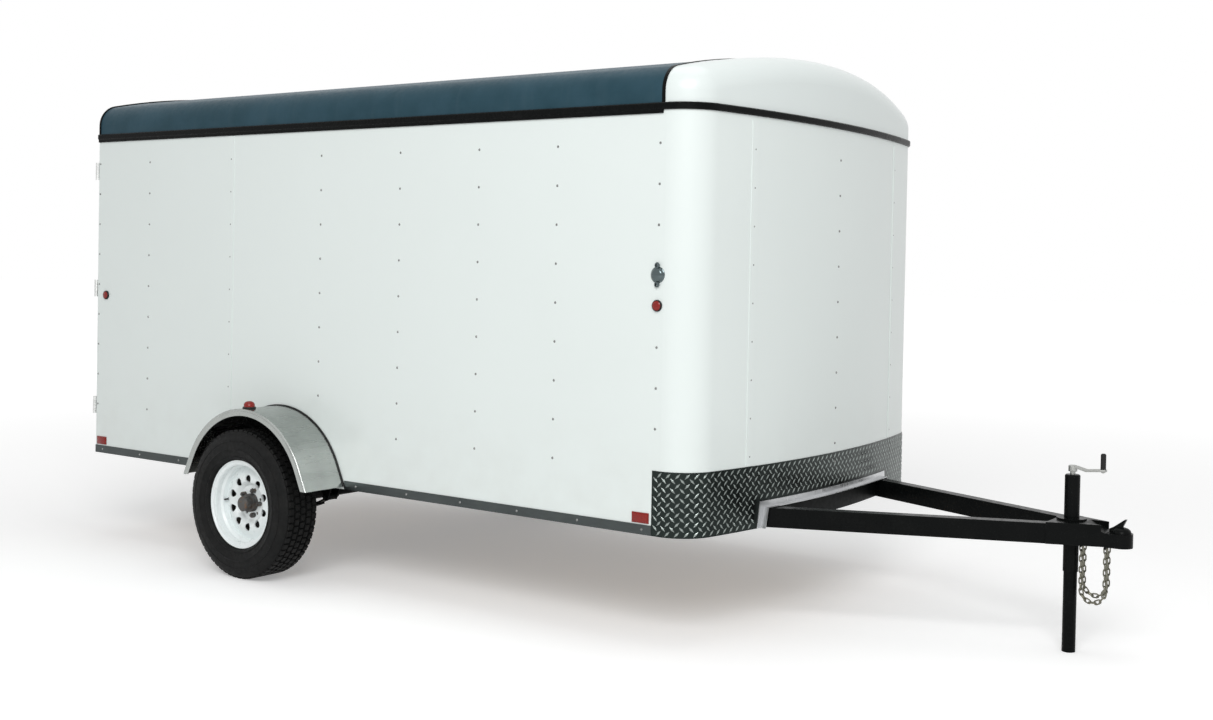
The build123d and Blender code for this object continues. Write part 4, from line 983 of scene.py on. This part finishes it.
def add_reflectors():
    """Moulded reflectors with rounded rims at both ends of each wall."""
    low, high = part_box("reflectors")
    deep = high[1] - HALF_WIDTH
    shape = bmesh.new()
    for side in SIDES.values():
        for start in (low[0], high[0] - REFLECTOR_LENGTH):
            spans = (start, start + REFLECTOR_LENGTH), (low[2], high[2])
            side_box(shape, side, *spans, RIM_SHARE * deep, RIM_ROUNDING)
            inner = [(first + REFLECTOR_RIM, last - REFLECTOR_RIM) for first, last in spans]
            side_box(shape, side, *inner, deep, SOFT_EDGE)
    add_shape("moulded_reflectors", shape, BODY, "red_lens", instead_of=("reflectors",))


def add_wall_fixtures():
    """Bright round fixture on a strap with a wire loop at each end."""
    x = MARKERS[1][0]
    spans = (x - STRAP_WIDE, x + STRAP_WIDE), (FIXTURE_HEIGHT - STRAP_LONG, FIXTURE_HEIGHT + STRAP_LONG)
    shape = bmesh.new()
    for side in SIDES.values():
        middle = Vector((x, side * HALF_WIDTH, FIXTURE_HEIGHT))
        side_box(shape, side, *spans, STRAP_THICK, SOFT_EDGE)
        lathe(shape, FIXTURE_DOME, middle, (0, side, 0), steps=48)
        for end in (-1, 1):
            ring = middle + Vector((0, side * LOOP_OUT, end * LOOP_PLACE))
            loop = around(ring, LOOP_RADIUS, count=20)
            shape.from_mesh(tube("fixture_loop", loop, LOOP_WIRE, cyclic=True))
    add_shape("strap_fixtures", shape, BODY, "chrome_trim", instead_of=("wall_fixtures",))


# Roof edge, crank and coupler

ROOF_BEAD = 0.006
EAVE_STEPS, CROWN_STEPS = 12, 24
CRANK_PATH = ((-0.013, 0.024), (0.014, 0.024), (0.052, 0.014), (0.103, 0.019), (0.126, 0.019))
CRANK_HALF, CRANK_SHEET, CRANK_ROUNDING = 0.0125, 0.0095, 0.0018
CRANK_COLLAR = (
    (0.0, 0.0), (0.0, 0.0100), (0.010, 0.0100), (0.012, 0.0165), (0.032, 0.0165), (0.0345, 0.0140),
    (0.0345, 0.0),
)
CRANK_RIVET = ((-0.004, 0.0), (-0.004, 0.0050), (-0.002, 0.0070), (0.002, 0.0070), (0.002, 0.0))
RIVET_PLACE = Vector((0.1145, 0, 0.019))
HOUSING_DOME = (
    (-0.004, 0.0), (-0.004, 0.0360), (0.004, 0.0350), (0.012, 0.0310), (0.018, 0.0240), (0.0215, 0.0140),
    (0.0225, 0.0),
)
HOUSING_BACK = 0.041


def add_roof_edge():
    """Black bead over the roof's rear edge: up from the wall, round the eaves and over the crown."""
    x = REAR_X + ROOF_BEAD
    eave_y, eave_z = HALF_WIDTH - EAVE_RADIUS, WALL_TOP + SIDE_RISE
    rise = sqrt((CROWN_RADIUS - EAVE_RADIUS) ** 2 - eave_y**2)
    lean = atan2(rise, eave_y)
    corner = [Vector((x, HALF_WIDTH, WALL_TOP))]
    for step in range(EAVE_STEPS + 1):
        turn = lean * step / EAVE_STEPS
        corner.append(Vector((x, eave_y + EAVE_RADIUS * cos(turn), eave_z + EAVE_RADIUS * sin(turn))))
    crown = []
    for step in range(1, CROWN_STEPS):
        turn = lean + (pi - 2 * lean) * step / CROWN_STEPS
        crown.append(Vector((x, CROWN_RADIUS * cos(turn), eave_z - rise + CROWN_RADIUS * sin(turn))))
    other = [Vector((x, -spot.y, spot.z)) for spot in reversed(corner)]
    add_bead("roof_edge", corner + crown + other, ROOF_BEAD, "black_paint")


def add_crank():
    """Flat arm with rounded edges, bent down and up again, on a collar round the jack's screw."""
    low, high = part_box("jack_tube")
    top = Vector(((low[0] + high[0]) / 2, 0, high[2]))
    outline = [Vector((x, -CRANK_HALF, z)) for x, z in CRANK_PATH]
    outline += [Vector((x, -CRANK_HALF, z + CRANK_SHEET)) for x, z in reversed(CRANK_PATH)]
    shape = bmesh.new()
    face = shape.faces.new([shape.verts.new(top + spot) for spot in outline])
    swept = bmesh.ops.extrude_face_region(shape, geom=[face])["geom"]
    verts = [item for item in swept if isinstance(item, bmesh.types.BMVert)]
    bmesh.ops.translate(shape, verts=verts, vec=(0, 2 * CRANK_HALF, 0))
    bmesh.ops.recalc_face_normals(shape, faces=shape.faces)
    bmesh.ops.bevel(shape, geom=shape.edges, offset=CRANK_ROUNDING, segments=2, affect="EDGES", profile=0.5)
    lathe(shape, CRANK_COLLAR, top, UP, steps=28)
    lathe(shape, CRANK_RIVET, top + RIVET_PLACE, UP, steps=20)
    add_shape("bent_crank", shape, BODY, "zinc", instead_of=("jack_crank",))


def add_ball_housing():
    """Round top of the ball's socket at the coupler's nose."""
    foot = (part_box("coupler")[1][0] - HOUSING_BACK, 0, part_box("coupler_latch")[0][2])
    shape = bmesh.new()
    lathe(shape, HOUSING_DOME, foot, UP, steps=40)
    add_shape("ball_housing", shape, BODY, "black_paint")


# Sheet laps, placed from the rear end, and door edges

LAP_PLACES = (1.030,)
LAP_WIDTH, LAP_PROUD = 0.040, 0.0025
LAP_FOOT, PANEL_FOOT, LAP_DROP = 0.150, 0.002, 0.042
DOOR_BAND, BAND_PROUD, BAND_ROUNDING = 0.030, 0.0016, 0.0004
DOOR_SCREWS = 13
DOOR_SCREW_SIZES = {"Head Radius": 0.0045, "Head Height": 0.002}


def wrap_strip(shape, span, heights, proud, steps=2):
    """Add a thin strip on the box's side and front, between two distances round the front."""
    grid = []
    for lift in (0.0, proud):
        for height in heights:
            runs = [span[0] + (span[1] - span[0]) * step / steps for step in range(steps + 1)]
            grid.append([shape.verts.new(round_front(run, height, lift)[0]) for run in runs])
    back_low, back_high, low, high = grid
    made = []
    for first, second in ((low, high), (high, back_high), (back_high, back_low), (back_low, low)):
        for step in range(steps):
            made.append(shape.faces.new((first[step], first[step + 1], second[step + 1], second[step])))
    for end in (0, -1):
        made.append(shape.faces.new((back_low[end], low[end], high[end], back_high[end])))
    bmesh.ops.recalc_face_normals(shape, faces=made)


def add_sheet_laps():
    """The edge of one sheet over the next, on the walls and beside the front's middle panel."""
    shape = bmesh.new()
    for side in SIDES.values():
        runs = [side_run(REAR_X + stud) for stud in LAP_PLACES] + [PANEL_HALF]
        for run in runs:
            foot = GUARD_TOP + PANEL_FOOT if run == PANEL_HALF else BOX_BOTTOM + LAP_FOOT
            span = (side * (run - LAP_WIDTH / 2), side * (run + LAP_WIDTH / 2))
            wrap_strip(shape, span, (foot, WALL_TOP - LAP_DROP), LAP_PROUD)
    add_shape("sheet_laps", shape, BODY, "white_skin", crease=20)


def add_door_edges(label):
    """Aluminium edge round a door's outside face, with screws down both of its sides."""
    low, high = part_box(f"door_{label}")
    body, band = f"{label}_door", DOOR_BAND
    back, face = low[0], low[0] - BAND_PROUD
    shape = bmesh.new()
    for y in ((low[1], low[1] + band), (high[1] - band, high[1])):
        soft_box(shape, (face, y[0], low[2]), (back, y[1], high[2]), BAND_ROUNDING, 1)
    for z in ((low[2], low[2] + band), (high[2] - band, high[2])):
        soft_box(shape, (face, low[1] + band, z[0]), (back, high[1] - band, z[1]), BAND_ROUNDING, 1)
    add_shape(f"door_edge_{label}", shape, body, "fender_metal", finish=EDGE_ALUMINIUM)
    rows = []
    step = (high[2] - low[2] - band) / (DOOR_SCREWS - 1)
    for y in (low[1] + band / 2, high[1] - band / 2):
        rows += [((face, y, low[2] + band / 2 + step * count), REARWARD, UP) for count in range(DOOR_SCREWS)]
    add_stamped(f"door_screws_{label}", SCREWS, rows, DOOR_SCREW_SIZES, body, "zinc", SCREW_STEEL)


add_stamped("body_screws", SCREWS, wall_screws(), SCREW_SIZES, BODY, "zinc", SCREW_STEEL)
add_stamped(
    "guard_diamonds", diamond_pattern(), guard_diamonds(), DIAMOND_SIZES, BODY, "diamond_plate", DIAMOND_TOPS_HIGHLIGHT,
    crease=10,
)
add_sheet_laps()
add_stamped(
    "chain_links", chain_pattern(), link_places(), LINK_SIZES, BODY, "zinc", CHAIN_ZINC,
    instead_of=("safety_chains",), crease=60,
)
add_side_lamps()
add_rear_lamps()
add_reflectors()
add_wall_fixtures()
add_roof_edge()
add_crank()
add_ball_housing()
for label, side in SIDES.items():
    add_tyre(label, side)
    add_wheel(label, side)
    add_hub_fittings(label, side)
    add_fender_edges(label, side)
    add_door_edges(label)


# Stage, light and camera


def seen_directly(wires):
    """1 where a ray reaches the surface from the camera, a reflection or a clear lens."""
    path = wires.node("ShaderNodeLightPath").outputs
    seen = path["Is Camera Ray"]
    for other in ("Is Glossy Ray", "Is Transmission Ray"):
        seen = wires.maths("MAXIMUM", seen, path[other])
    return seen


def add_floor():
    """Wide pale floor that shows nearly white and still takes a soft shadow."""
    pale = Finish(
        "pale_floor", (0.93, 0.93, 0.93), 0.95, Specular_IOR_Level=0.0, Emission_Color=(1, 1, 1, 1)
    )
    away = pale.node("ShaderNodeVectorMath", {"operation": "LENGTH"})
    pale.feed(away.inputs[0], pale.place)
    glow = pale.spread(away.outputs["Value"], FLOOR_NEAR, FLOOR_FAR, FLOOR_GLOW_NEAR, FLOOR_GLOW_FAR)
    pale.feed(pale.shader.inputs["Emission Strength"], pale.maths("MULTIPLY", glow, seen_directly(pale)))
    shape = bmesh.new()
    bmesh.ops.create_grid(shape, x_segments=1, y_segments=1, size=FLOOR_SIZE)
    mesh = mesh_of("floor", shape)
    mesh.materials.append(pale.material)
    place_object("floor", mesh)


def add_lamp(name, place, aim, size, power):
    lamp = bpy.data.lights.new(name, "AREA")
    lamp.shape = "RECTANGLE"
    lamp.size, lamp.size_y = size
    lamp.energy = power
    holder = bpy.data.objects.new(name, lamp)
    facing = (Vector(aim) - Vector(place)).to_track_quat("-Z", "Y")
    holder.matrix_world = Matrix.Translation(place) @ facing.to_matrix().to_4x4()
    bpy.context.scene.collection.objects.link(holder)


def light_scene():
    world = bpy.data.worlds.new("studio")
    bpy.context.scene.world = world
    world.use_nodes = True
    wires = Wiring(world.node_tree)
    background = world.node_tree.nodes["Background"].inputs
    background["Color"].default_value = (1, 1, 1, 1)
    wires.feed(background["Strength"], wires.spread(seen_directly(wires), 0, 1, WORLD_LIGHT, 1))
    for name, lamp in LAMPS.items():
        add_lamp(name, *lamp)


def add_camera():
    level = cos(CAMERA_PITCH)
    forward = Vector((sin(CAMERA_YAW) * level, cos(CAMERA_YAW) * level, sin(CAMERA_PITCH)))
    right = forward.cross(UP).normalized()
    turn = Matrix.Rotation(CAMERA_ROLL, 3, -forward)
    right, up = turn @ right, turn @ right.cross(forward)
    data = bpy.data.cameras.new("photo_camera")
    data.sensor_width = SENSOR
    data.sensor_fit = "HORIZONTAL"
    data.lens = SENSOR * FOCAL_PIXELS / PHOTO_WIDTH
    data.shift_x = (PHOTO_WIDTH / 2 - CENTRE_PIXEL[0]) / PHOTO_WIDTH
    data.shift_y = (CENTRE_PIXEL[1] - PHOTO_HEIGHT / 2) / PHOTO_WIDTH
    camera = bpy.data.objects.new("photo_camera", data)
    basis = Matrix((right, up, -forward)).transposed().to_4x4()
    camera.matrix_world = Matrix.Translation(CAMERA_PLACE) @ basis
    bpy.context.scene.collection.objects.link(camera)
    bpy.context.scene.camera = camera


add_floor()
light_scene()
add_camera()
bpy.context.scene.view_settings.view_transform = "Standard"
